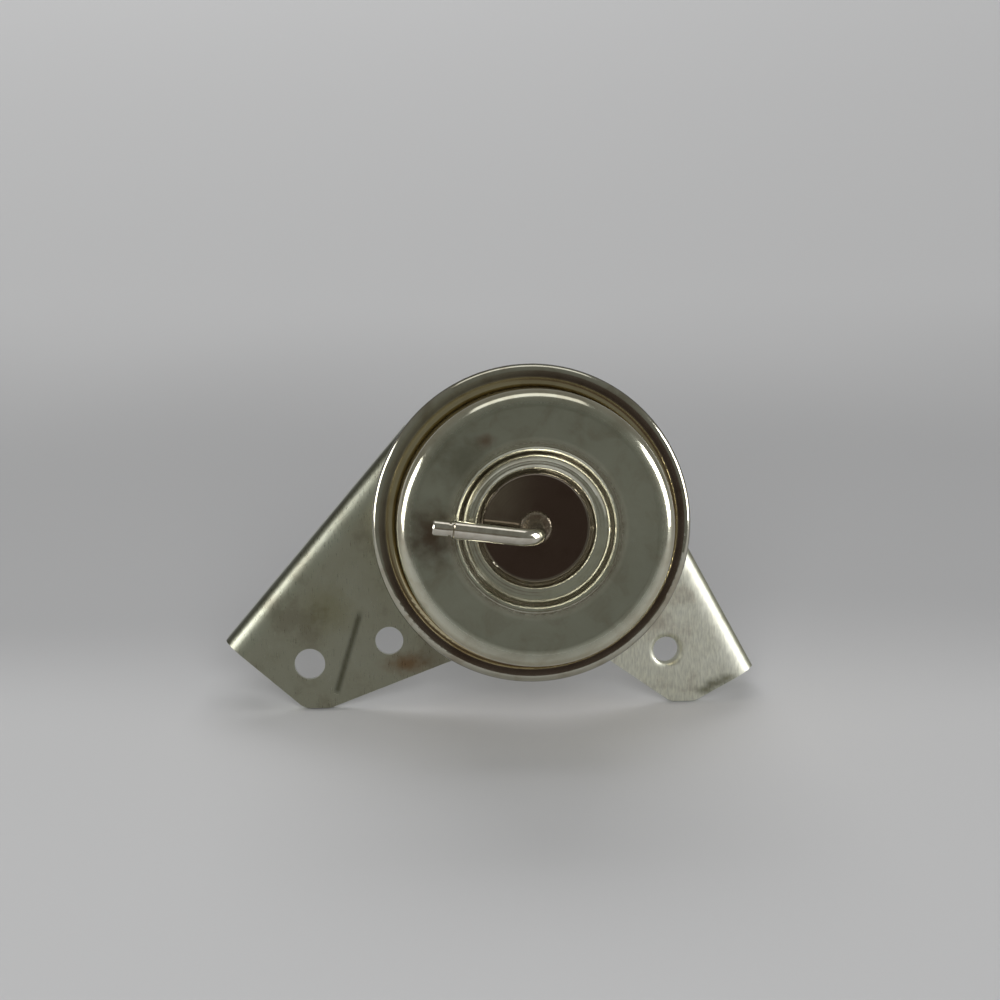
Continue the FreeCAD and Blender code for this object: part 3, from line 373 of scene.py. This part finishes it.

# %% [markdown]
# ## Painted shade on the bracket
# Two kinds of painted shade follow lines of the bracket's own drawing. A pressed crease on the left foot gets a
# painted dark line, for the shading of its relief. The outer sides of both folds are painted darker, for the dark
# surroundings that they would mirror. Each is worked out as a distance from its line, so it stays sharp at any
# size, which a picture texture wouldn't.

# %% Places on the bracket
CREASE_TOP = Vector((-38.4, 0, -20.0))
CREASE_FOOT = Vector((-44.4, 0, -39.3))
CREASE_LENGTH = (CREASE_FOOT - CREASE_TOP).length
CREASE_WAY = (CREASE_FOOT - CREASE_TOP).normalized()
CREASE_SIDE = CREASE_WAY.cross(Vector((0, 1, 0)))
# Each fold is the angle from upright of its outward side, and its distance from the axis.
FOLDS = ((-49.4, 35.2), (62.0, 29.4))
outer_hole = mount_named("outer_bolt_hole")
SHEET = outer_hole["dims"]["length_mm"]
PLATE_FRONT = (OWN_TO_ROW.inverted() @ Vector(outer_hole["pos_m"])).y / MM - SHEET / 2
print("crease length mm", round(CREASE_LENGTH, 2), "plate front mm", round(PLATE_FRONT, 2))

# %% Crease shade
CREASE_SPREAD = 1.2
# How dark the painted shade along the crease gets in its middle.
CREASE_SHADE_STRENGTH = 0.75
CREASE_BEGINS_IN = 2.0
CREASE_ENDS_IN = 1.0


def crease_shade(tree, own):
    """How much painted shade lies at a point: most along the crease, none beside it or past its ends."""
    from_top = add(tree, "ShaderNodeVectorMath", {0: own, 1: CREASE_TOP}, operation="SUBTRACT")
    along = add(tree, "ShaderNodeVectorMath", {
        0: from_top.outputs["Vector"], 1: CREASE_WAY}, operation="DOT_PRODUCT")
    beside = add(tree, "ShaderNodeVectorMath", {
        0: from_top.outputs["Vector"], 1: CREASE_SIDE}, operation="DOT_PRODUCT")
    aside = add(tree, "ShaderNodeMath", {0: beside.outputs["Value"]}, operation="ABSOLUTE")
    depth = add(tree, "ShaderNodeMapRange", {
        "Value": aside.outputs[0], "From Min": 0.0, "From Max": CREASE_SPREAD,
        "To Min": CREASE_SHADE_STRENGTH, "To Max": 0.0}, interpolation_type="SMOOTHSTEP")
    began = add(tree, "ShaderNodeMapRange", {
        "Value": along.outputs["Value"], "From Min": 0.0, "From Max": CREASE_BEGINS_IN})
    still = add(tree, "ShaderNodeMapRange", {
        "Value": along.outputs["Value"], "From Min": CREASE_LENGTH - CREASE_ENDS_IN,
        "From Max": CREASE_LENGTH, "To Min": 1.0, "To Max": 0.0})
    within = add(tree, "ShaderNodeMath", {
        0: began.outputs["Result"], 1: still.outputs["Result"]}, operation="MULTIPLY")
    painted_crease_shade = add(tree, "ShaderNodeMath", {
        0: within.outputs[0], 1: depth.outputs["Result"]}, operation="MULTIPLY")
    return painted_crease_shade.outputs[0]


# The crease's dark line is painted shade, for the shading of its relief.
print("dirt reaches", CREASE_SPREAD, "mm to each side of the crease")

# %% Outer sides of the folds
# Painted shade on the outer sides of the folds: it grows towards each fold's outer edge and fades out along the
# flanges.
FOLD_BEGINS = 1.9
FOLD_ENDS = 0.5
FLANGE_UNSHADED_FROM = 5.0
FLANGE_UNSHADED_AT = 9.0


def fold_shade(tree, own):
    """How much painted shade a point gets round the outside of a fold: 1 there, 0 on the plate and flanges."""
    axes = add(tree, "ShaderNodeSeparateXYZ", {"Vector": own})
    near = add(tree, "ShaderNodeMapRange", {
        "Value": axes.outputs["Y"], "From Min": PLATE_FRONT + FLANGE_UNSHADED_FROM,
        "From Max": PLATE_FRONT + FLANGE_UNSHADED_AT, "To Min": 1.0, "To Max": 0.0},
        interpolation_type="SMOOTHSTEP")
    shares = []
    for angle, distance in FOLDS:
        outward = Vector((math.sin(math.radians(angle)), 0, math.cos(math.radians(angle))))
        reach = add(tree, "ShaderNodeVectorMath", {0: own, 1: outward}, operation="DOT_PRODUCT")
        turned = add(tree, "ShaderNodeMapRange", {
            "Value": reach.outputs["Value"], "From Min": distance - FOLD_BEGINS,
            "From Max": distance - FOLD_ENDS}, interpolation_type="SMOOTHSTEP")
        share = add(tree, "ShaderNodeMath", {
            0: turned.outputs["Result"], 1: near.outputs["Result"]}, operation="MULTIPLY")
        shares.append(share.outputs[0])
    most = add(tree, "ShaderNodeMath", {0: shares[0], 1: shares[1]}, operation="MAXIMUM")
    return most.outputs[0]


print("folds at", [distance for angle, distance in FOLDS], "mm from the axis")

# %% [markdown]
# ## The bracket: brushed rolled sheet
# The bracket is cut and folded from zinc-plated rolled sheet. Rolling leaves a fine straight
# grain, which a very long thin noise gives: the same noise drives roughness and bump, so the
# grain catches the light as scratches do. The right foot was rubbed bright with slanted strokes,
# and it mirrors the pale floor where the left foot mirrors the dark room. A bump that rises with
# the height tilts the shading there, so it shows the floor and the sheet itself stays flat.

# %% Colour of the sheet
STROKES_PER_MM = (2.4, 1.0, 0.5)
STROKE_SLANT = 0.2
SHEET_CLOUDS_PER_MM = 0.11
# Spots of rust and handling, and the dirt at the right foot's corner.
BRACKET_STAINS = [
    (-28.0, -32.5, 7.0, 3.4, "#cfae98"),
    (-46.0, -20.0, 8.0, 7.0, "#ece9da"),
    (45.0, -37.4, 3.4, 1.5, "#a3a294"),
    (42.6, -38.6, 3.2, 1.5, "#9c9b8e"),
    (40.2, -39.9, 3.2, 1.5, "#a8a79a"),
]


def sheet_colour(tree, own, worn, colour, worn_colour):
    """Zinc that is cloudy at the left and rubbed pale at the right, with its stains, and painted shade along the
    crease and round the outer sides of the folds.
    """
    slanted = add(tree, "ShaderNodeMapping", {
        "Vector": own, "Rotation": (0, STROKE_SLANT, 0), "Scale": STROKES_PER_MM})
    strokes = add(tree, "ShaderNodeTexNoise", {
        "Vector": slanted.outputs["Vector"], "Scale": 1.0, "Detail": 2.0, "Roughness": 0.5})
    stroke_tone = add(tree, "ShaderNodeMapRange", {
        "Value": strokes.outputs["Fac"], "From Min": 0.35, "From Max": 0.65,
        "To Min": 0.8, "To Max": 1.0})
    rubbed = add(tree, "ShaderNodeVectorMath", {
        0: linear(worn_colour)[:3], "Scale": stroke_tone.outputs["Result"]}, operation="SCALE")
    base = add(tree, "ShaderNodeMix", {
        "Factor": worn, 6: colour, 7: rubbed.outputs["Vector"]}, data_type="RGBA")
    cloud = add(tree, "ShaderNodeTexNoise", {
        "Vector": own, "Scale": SHEET_CLOUDS_PER_MM, "Detail": 5.0, "Roughness": 0.6})
    stain = add(tree, "ShaderNodeValToRGB", {"Fac": cloud.outputs["Fac"]},
                stops=[(0.36, "#a59076"), (0.47, "#ece9e0"), (0.7, "#ffffff")])
    clouded = add(tree, "ShaderNodeMix", {
        "Factor": 0.4, 6: base.outputs[2], 7: stain.outputs["Color"]},
        data_type="RGBA", blend_type="MULTIPLY")
    spotted = stained(tree, own, clouded.outputs[2], BRACKET_STAINS)
    # Painted shade along the crease: a dark line for the shading of its relief.
    crease_shaded = add(tree, "ShaderNodeMix", {
        "Factor": crease_shade(tree, own), 6: spotted, 7: "#8a887c"},
        data_type="RGBA", blend_type="MULTIPLY")
    # Painted shade on the outer sides of both folds, for the dark that they would mirror.
    fold_shaded = add(tree, "ShaderNodeMix", {
        "Factor": fold_shade(tree, own), 6: crease_shaded.outputs[2], 7: "#84847a"},
        data_type="RGBA", blend_type="MULTIPLY")
    return fold_shaded.outputs[2]


print("rubbed strokes", round(1 / STROKES_PER_MM[0], 2), "mm wide, stains:", len(BRACKET_STAINS))

# %% Bracket sheet
# Real rolling grain is finer than a pixel here, so it is drawn about a pixel wide, to show.
GRAIN_PER_MM = (6.0, 1.0, 0.35)
GRAIN_DEPTH = 0.03
RUBBED_FROM = -5.0
RUBBED_AT = 20.0
FOOT_TILT = 0.33


def brushed_sheet(name, colour, worn_colour):
    """Rolled sheet with straight grain, duller at the left and rubbed bright at the right."""
    material, tree = new_material(name)
    own = own_millimetres(tree)
    axes = add(tree, "ShaderNodeSeparateXYZ", {"Vector": own})
    worn = add(tree, "ShaderNodeMapRange", {
        "Value": axes.outputs["X"], "From Min": RUBBED_FROM, "From Max": RUBBED_AT},
        interpolation_type="SMOOTHSTEP")
    drawn_out = add(tree, "ShaderNodeMapping", {"Vector": own, "Scale": GRAIN_PER_MM})
    grain = add(tree, "ShaderNodeTexNoise", {
        "Vector": drawn_out.outputs["Vector"], "Scale": 1.0, "Detail": 4.0, "Roughness": 0.65})
    dull = add(tree, "ShaderNodeMapRange", {
        "Value": grain.outputs["Fac"], "From Min": 0.3, "From Max": 0.7, "To Min": 0.24,
        "To Max": 0.4})
    rough = add(tree, "ShaderNodeMath", {
        0: worn.outputs["Result"], 1: 0.24, 2: dull.outputs["Result"]}, operation="MULTIPLY_ADD")
    relief = add(tree, "ShaderNodeBump", {
        "Strength": 0.35, "Distance": GRAIN_DEPTH * MM, "Height": grain.outputs["Fac"]})
    lift = add(tree, "ShaderNodeMath", {
        0: worn.outputs["Result"], 1: axes.outputs["Z"]}, operation="MULTIPLY")
    dished = add(tree, "ShaderNodeBump", {
        "Strength": 1.0, "Distance": FOOT_TILT * MM, "Height": lift.outputs[0],
        "Normal": relief.outputs["Normal"]})
    surface = add(tree, "ShaderNodeBsdfPrincipled", {
        "Base Color": sheet_colour(tree, own, worn.outputs["Result"], colour, worn_colour),
        "Metallic": 1.0, "Roughness": rough.outputs[0], "Normal": dished.outputs["Normal"]})
    add(tree, "ShaderNodeOutputMaterial", {"Surface": surface.outputs["BSDF"]})
    return material


# Zinc on brushed steel: a soft grey-green sheen, drawn into fine lines, pale where it is rubbed.
bracket_sheet = brushed_sheet("brushed_zinc_plated_sheet", "#c8cab9", "#fbfcf0")
dress("bracket", bracket_sheet)

# %% [markdown]
# ## Small metal parts
# The nipple is bright nickel-plated tube, the fasteners are dull zinc, the rod is drawn and
# plated, and the rod end is forged. They differ in colour, roughness and how uneven they are,
# so one short recipe serves them all. Its noise is in spots of a real size, and on the rod the
# spots are drawn out along the axis, as the drawing die leaves them. Marks that are too fine to
# show, such as the pores of the bronze and the lines on the rod, are drawn at about half a
# millimetre.

# %% Plain metal recipe
SPOT_TINT = 0.5


def metal(name, colour, roughness, uneven=0.2, spot_mm=1.5, relief_mm=0.02, drawn_out=1.0):
    """Plain metal with uneven roughness in spots of a real size, drawn out along the rod."""
    material, tree = new_material(name)
    own = own_millimetres(tree)
    along = add(tree, "ShaderNodeMapping", {"Vector": own, "Scale": (1, 1 / drawn_out, 1)})
    spots = add(tree, "ShaderNodeTexNoise", {
        "Vector": along.outputs["Vector"], "Scale": 1 / spot_mm, "Detail": 6.0,
        "Roughness": 0.6})
    rough = add(tree, "ShaderNodeMapRange", {
        "Value": spots.outputs["Fac"], "From Min": 0.3, "From Max": 0.7,
        "To Min": roughness * (1 - uneven), "To Max": roughness * (1 + uneven)})
    shade = add(tree, "ShaderNodeValToRGB", {"Fac": spots.outputs["Fac"]},
                stops=[(0.3, "#d2ccc2"), (0.6, "#ffffff")])
    tinted = add(tree, "ShaderNodeMix", {
        "Factor": SPOT_TINT, 6: colour, 7: shade.outputs["Color"]},
        data_type="RGBA", blend_type="MULTIPLY")
    relief = add(tree, "ShaderNodeBump", {
        "Strength": 0.3, "Distance": relief_mm * MM, "Height": spots.outputs["Fac"]})
    surface = add(tree, "ShaderNodeBsdfPrincipled", {
        "Base Color": tinted.outputs[2], "Metallic": 1.0, "Roughness": rough.outputs["Result"],
        "Normal": relief.outputs["Normal"]})
    add(tree, "ShaderNodeOutputMaterial", {"Surface": surface.outputs["BSDF"]})
    print("made", material.name)
    return material


print("spots show at", SPOT_TINT, "of their full tint")

# %% Nipple
# Bright nickel: a sharp, slightly warm mirror with long glints along the tube.
nickel_tube = metal("nickel_plated_tube", "#d2cdc0", 0.14)
# Brazing metal as it froze: warm, lumpy and half matt.
brazed_ring = metal("brazed_steel_ring", "#a89c8c", 0.24, uneven=0.35, spot_mm=0.8,
                    relief_mm=0.06)
dress("vacuum_nipple", nickel_tube)
dress("nipple_collar", brazed_ring)

# %% Fasteners
# Dull zinc plating: pale grey with soft glints, a little patchy.
zinc = metal("zinc_plated_fastener", "#b9b9ae", 0.34, spot_mm=0.7)
for fastener in ("cover_studs", "stud_washers", "stud_nuts", "lock_nut"):
    dress(fastener, zinc)

# %% Rod and its eye
# Drawn rod, plated: a half-bright bar with fine lines along it.
drawn_rod = metal("zinc_plated_drawn_rod", "#bdbdb4", 0.26, spot_mm=0.5, relief_mm=0.006,
                  drawn_out=30.0)
# Forged steel, plated: darker and rougher, with the skin that the hammer left.
forged = metal("forged_zinc_plated_steel", "#a3a298", 0.42, spot_mm=1.1, relief_mm=0.08)
# Ground hardened steel: smooth, neutral and darker than the plating round it.
hardened = metal("ground_hardened_steel", "#9d9d9a", 0.18, spot_mm=0.6)
# Sintered bronze: warm and matt, with pores that hold the oil.
bronze = metal("sintered_bronze", "#b08a52", 0.45, spot_mm=0.4, relief_mm=0.05)
dress("actuator_rod", drawn_rod)
dress("rod_end", forged)
dress("eye_bush", hardened)
dress("guide_bush", bronze)

# %% Inside the can
# Spring wire as tempered in oil: dark grey with a dull shine.
spring_wire = metal("oil_tempered_spring_wire", "#5f5f60", 0.3, spot_mm=0.8)
# Unplated pressed steel: grey, smooth, in broad faint patches.
pressed = metal("pressed_steel_as_drawn", "#9b9c92", 0.32, spot_mm=2.5)
dress("return_spring", spring_wire)
for stamping in ("piston_cup", "support_plate", "clamp_washer", "bush_retainer"):
    dress(stamping, pressed)

# %% [markdown]
# ## Rubber
# The diaphragm, the bumper and the wiper are moulded rubber: nearly black, matt, with the fine
# grain of the mould. Rubber isn't a metal, so its gloss is weak and its colour does the work.
# The mould's real grain is too fine to show, so it is drawn at a third of a millimetre, and one
# noise gives both gloss and relief.

# %% Rubber
MOULD_GRAINS_PER_MM = 3.0
MOULD_DEPTH = 0.03


def moulded_rubber(name, colour):
    """Matt black rubber with a fine mould grain."""
    material, tree = new_material(name)
    own = own_millimetres(tree)
    grain = add(tree, "ShaderNodeTexNoise", {
        "Vector": own, "Scale": MOULD_GRAINS_PER_MM, "Detail": 3.0})
    rough = add(tree, "ShaderNodeMapRange", {
        "Value": grain.outputs["Fac"], "To Min": 0.55, "To Max": 0.8})
    relief = add(tree, "ShaderNodeBump", {
        "Strength": 0.4, "Distance": MOULD_DEPTH * MM, "Height": grain.outputs["Fac"]})
    surface = add(tree, "ShaderNodeBsdfPrincipled", {
        "Base Color": colour, "IOR": 1.5, "Roughness": rough.outputs["Result"],
        "Normal": relief.outputs["Normal"]})
    add(tree, "ShaderNodeOutputMaterial", {"Surface": surface.outputs["BSDF"]})
    return material


# Nitrile rubber from the mould: black without shine.
black_rubber = moulded_rubber("moulded_nitrile_rubber", "#17171a")
for seal in ("diaphragm", "rest_bumper", "wiper_ring"):
    dress(seal, black_rubber)

# %% [markdown]
# ## Threaded studs
# The two weld studs that hold the bracket are plain pins in the CAD model. Real ones carry a
# 1 mm pitch thread, and its grooves show beyond the nuts. A disc is extruded half a pitch at a
# time and made narrower and wider in turn. Rings look like a helix at this size, and stay
# closed and tidy where a true helix would need its ends stitched.

# %% One step of a thread
PITCH = 1.0 * MM
THREAD_DEPTH = 0.56 * MM
STUD_SIDES = 48
SAME_POINT = 1e-7


def grow(work, face, centre, along, radius_from, radius_to, keep_old):
    """Extrude one face along an axis and scale it about that axis; give back the new face."""
    made = bmesh.ops.extrude_face_region(work, geom=[face])["geom"]
    tip = next(item for item in made if isinstance(item, bmesh.types.BMFace))
    if not keep_old:
        bmesh.ops.delete(work, geom=[face], context="FACES_ONLY")
    bmesh.ops.translate(work, verts=tip.verts, vec=along)
    ratio = radius_to / radius_from
    bmesh.ops.scale(work, verts=tip.verts, vec=(ratio, 1.0, ratio),
                    space=Matrix.Translation(-Vector(centre)))
    return tip


print("pitch mm", PITCH / MM, "depth mm", THREAD_DEPTH / MM)

# %% Stud threads
pins = [OWN_TO_ROW.inverted() @ vertex.co for vertex in NODES["cover_studs"].data.vertices]
studs = bmesh.new()
for side in (-1, 1):
    pin = [point for point in pins if point.x * side > 0]
    low = [min(point[axis] for point in pin) for axis in range(3)]
    high = [max(point[axis] for point in pin) for axis in range(3)]
    middle = Vector(((low[0] + high[0]) / 2, low[1], (low[2] + high[2]) / 2))
    crest = (high[2] - low[2]) / 2
    root = crest - THREAD_DEPTH
    quarter_turn = Matrix.Rotation(math.radians(90), 4, "X")
    ring = bmesh.ops.create_circle(studs, cap_ends=True, segments=STUD_SIDES, radius=root,
                                   matrix=Matrix.Translation(middle) @ quarter_turn)["verts"]
    face = next(iter(ring[0].link_faces))
    half_turns = int((high[1] - low[1]) / (PITCH / 2))
    radius = root
    for turn_count in range(half_turns):
        last = turn_count == half_turns - 1
        wanted = root if turn_count % 2 or last else crest
        face = grow(studs, face, middle, (0, PITCH / 2, 0), radius, wanted, turn_count == 0)
        radius = wanted
    print("stud", side, "radius mm", round(crest / MM, 2), "half turns", half_turns)

# %% Studs as a piece
bmesh.ops.remove_doubles(studs, verts=studs.verts, dist=SAME_POINT)
bmesh.ops.recalc_face_normals(studs, faces=studs.faces)
bmesh.ops.transform(studs, matrix=OWN_TO_ROW, verts=studs.verts)
print("open edges:", sum(len(edge.link_faces) != 2 for edge in studs.edges),
      "faces:", len(studs.faces), "volume mm3:", round(studs.calc_volume() / MM ** 3, 1))
stud_mesh = bpy.data.meshes.new("threaded_studs")
studs.to_mesh(stud_mesh)
studs.free()
stud_mesh.materials.append(zinc)
threaded_studs = bpy.data.objects.new("threaded_studs", stud_mesh)
bpy.context.scene.collection.objects.link(threaded_studs)
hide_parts("cover_studs")
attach(threaded_studs, "housing")

# %% [markdown]
# ## Floor
# One pale matt surface lies under and behind the part. A large flat plane does, because the camera looks down at
# it everywhere. Its colour isn't quite even: a soft band behind the part carries painted shade, as where a sheet
# of paper bends, and noise keeps the band's edge from being straight. The colour is also painted a little lighter
# at the left and darker at the right.
# It is a stage piece, not part of the object.

# %% Paper
BAND_WANDER = 0.08
# Matt paper: no shine at all, so besides its painted shade it only shows the lights' soft falling off.
paper, paper_tree = new_material("matt_pale_paper")
paper_place = add(paper_tree, "ShaderNodeTexCoord")
paper_wave = add(paper_tree, "ShaderNodeTexNoise", {
    "Vector": paper_place.outputs["Object"], "Scale": 5.0, "Detail": 1.0})
paper_axes = add(paper_tree, "ShaderNodeSeparateXYZ", {"Vector": paper_place.outputs["Object"]})
paper_depth = add(paper_tree, "ShaderNodeMath", {
    0: paper_wave.outputs["Fac"], 1: BAND_WANDER, 2: paper_axes.outputs["Y"]},
    operation="MULTIPLY_ADD")
paper_share = add(paper_tree, "ShaderNodeMapRange", {
    "Value": paper_depth.outputs[0], "From Min": -0.4, "From Max": 0.6})
# Painted shade: the ramp darkens a soft band of the paper behind the part.
paper_tone = add(paper_tree, "ShaderNodeValToRGB", {"Fac": paper_share.outputs["Result"]}, stops=[
    (0.0, "#c6c6c8"), (0.38, "#c8c8ca"), (0.45, "#b2b2b4"), (0.55, "#b1b1b3"),
    (0.74, "#c7c7c9"), (1.0, "#c8c8ca")])
paper_tone.color_ramp.interpolation = "EASE"
# Painted shade: the paper is made a little lighter at the left and darker at the right.
paper_side_shade = add(paper_tree, "ShaderNodeMapRange", {
    "Value": paper_axes.outputs["X"], "From Min": -0.3, "From Max": 0.3, "To Min": 1.03,
    "To Max": 0.93})
paper_colour = add(paper_tree, "ShaderNodeVectorMath", {
    0: paper_tone.outputs["Color"], "Scale": paper_side_shade.outputs["Result"]}, operation="SCALE")
paper_surface = add(paper_tree, "ShaderNodeBsdfPrincipled", {
    "Base Color": paper_colour.outputs["Vector"], "Roughness": 0.85, "IOR": 1.3})
add(paper_tree, "ShaderNodeOutputMaterial", {"Surface": paper_surface.outputs["BSDF"]})
print("made", paper.name, "whose band wanders by up to", BAND_WANDER / MM, "mm")

# %% Floor plane
FLOOR_HALF = 6.0
floor_mesh = bpy.data.meshes.new("floor")
floor_work = bmesh.new()
bmesh.ops.create_grid(floor_work, x_segments=1, y_segments=1, size=FLOOR_HALF)
floor_work.to_mesh(floor_mesh)
floor_work.free()
floor_mesh.materials.append(paper)
floor = bpy.data.objects.new("floor", floor_mesh)
bpy.context.scene.collection.objects.link(floor)
print("floor", 2 * FLOOR_HALF, "m square")

# %% [markdown]
# ## The room
# Bright metal shows its surroundings more than its own colour, so the room is made for what the
# part mirrors. It is an even grey all round, with a dark place where the polished floor of the
# recess looks, a little below the camera. One corner of the dark place is pale, and that shows
# in the upper left of the recess. A picture of a real room would do too, but a ramp over the
# angle to the dark place's middle is easier to fit to one part.

# %% World
RECESS_SEES = Vector((0.06, -0.966, 0.24)).normalized()
world = bpy.data.worlds.new("room")
bpy.context.scene.world = world
world.use_nodes = True
room = world.node_tree
room.nodes.clear()
looking = add(room, "ShaderNodeTexCoord")
facing = add(room, "ShaderNodeVectorMath", {
    0: looking.outputs["Generated"], 1: RECESS_SEES}, operation="DOT_PRODUCT")
turn = add(room, "ShaderNodeMath", {
    0: facing.outputs["Value"], 1: 0.5, 2: 0.5}, operation="MULTIPLY_ADD")
gloom = add(room, "ShaderNodeValToRGB", {"Fac": turn.outputs[0]}, stops=[
    (0.0, "#8a8a87"), (0.4, "#80807d"), (0.7, "#7a7b76"), (0.987, "#7a7b76"),
    (0.996, "#584d47"), (1.0, "#524843")])
toward = add(room, "ShaderNodeSeparateXYZ", {"Vector": looking.outputs["Generated"]})
# The pale patch has a right, a lower and an outer edge, each as where it begins and is full.
PALE_EDGES = (
    (toward.outputs["X"], 0.051, 0.044),
    (toward.outputs["Z"], 0.238, 0.243),
    (turn.outputs[0], 0.985, 0.993),
)
insides = [add(room, "ShaderNodeMapRange", {"Value": value, "From Min": begins, "From Max": full})
           for value, begins, full in PALE_EDGES]
cornered = add(room, "ShaderNodeMath", {
    0: insides[0].outputs["Result"], 1: insides[1].outputs["Result"]}, operation="MULTIPLY")
pale = add(room, "ShaderNodeMath", {
    0: cornered.outputs[0], 1: insides[2].outputs["Result"]}, operation="MULTIPLY")
sight = add(room, "ShaderNodeMix", {
    "Factor": pale.outputs[0], 6: gloom.outputs["Color"], 7: "#85867b"}, data_type="RGBA")
air = add(room, "ShaderNodeBackground", {"Color": sight.outputs[2], "Strength": 1.0})
add(room, "ShaderNodeOutputWorld", {"Surface": air.outputs["Background"]})
print("the recess mirrors the room towards", [round(share, 3) for share in RECESS_SEES])

# %% [markdown]
# ## Light
# Two jobs are kept apart. A tall soft box on each side is seen only in the metal, and gives the
# white ends of every ring without burning out the floor beside it. Two fills light only the
# matt surfaces, from the front and from far behind, so the floor is even and no second glint
# shows in the metal. A soft light overhead does both, for the bright tops and the soft shadow.

# %% Lights


def soft_box(name, place, target, size, power):
    """A rectangular light that faces a target, in metres and watts."""
    light = bpy.data.lights.new(name, "AREA")
    light.shape = "RECTANGLE"
    light.size, light.size_y = size
    light.energy = power
    lamp = bpy.data.objects.new(name, light)
    lamp.location = place
    lamp.rotation_euler = (Vector(target) - Vector(place)).to_track_quat("-Z", "Y").to_euler()
    bpy.context.scene.collection.objects.link(lamp)
    print(name, "of", power, "W at", place)
    return lamp


left_box = soft_box("left_box", (-1.6, -0.12, 0.46), (-0.6, -0.1, 0.1), (0.7, 0.9), 16.0)
right_box = soft_box("right_box", (1.6, -0.2, 0.5), (0.6, -0.1, 0.1), (0.7, 1.0), 26.0)
for box in (left_box, right_box):
    box.visible_diffuse = False
soft_box("top_box", (0.0, 0.3, 1.8), (0, 0.3, 0), (1.8, 0.8), 5.0)
far_fill = soft_box("far_fill", (0.0, 1.6, 1.5), (0, 1.3, 0), (2.0, 1.0), 20.0)
near_fill = soft_box("near_fill", (0.0, -1.3, 0.7), (0, 0, 0), (1.2, 0.7), 13.5)
for fill in (far_fill, near_fill):
    fill.visible_glossy = False

# %% [markdown]
# ## Camera
# The camera stands where the photograph was taken from. Its direction and lens were fitted so
# that the rim and the bracket's corners fall where they do in the picture. The rim's centre is
# kept at its own place in the frame, without any lens shift.

# %% Camera
FRAME_PIXELS = 1000
SENSOR = 36.0
FOCAL_PIXELS = 2521.6
DISTANCE = 560.0 * MM
AZIMUTH = math.radians(-2.663)
ELEVATION = math.radians(20.383)
RIM_RIGHT_OF_CENTRE = 32.0
RIM_BELOW_CENTRE = 23.5

back = Vector((
    math.sin(AZIMUTH) * math.cos(ELEVATION),
    -math.cos(AZIMUTH) * math.cos(ELEVATION),
    math.sin(ELEVATION),
))
right = Vector((0, 0, 1)).cross(back).normalized()
up = back.cross(right)
rim_seen = DISTANCE * Vector((
    RIM_RIGHT_OF_CENTRE / FOCAL_PIXELS, -RIM_BELOW_CENTRE / FOCAL_PIXELS, -1))
lens = bpy.data.cameras.new("camera")
lens.sensor_width = SENSOR
lens.lens = FOCAL_PIXELS / FRAME_PIXELS * SENSOR
lens.clip_start = 0.01
camera = bpy.data.objects.new("camera", lens)
bpy.context.scene.collection.objects.link(camera)
camera.rotation_mode = "QUATERNION"
camera.rotation_quaternion = (-back).to_track_quat("-Z", "Y")
camera.location = RIM_CENTRE - (right * rim_seen.x + up * rim_seen.y + back * rim_seen.z)
bpy.context.scene.camera = camera
bpy.context.scene.view_settings.view_transform = "Standard"
print("camera at", camera.location, "lens", round(lens.lens, 2))
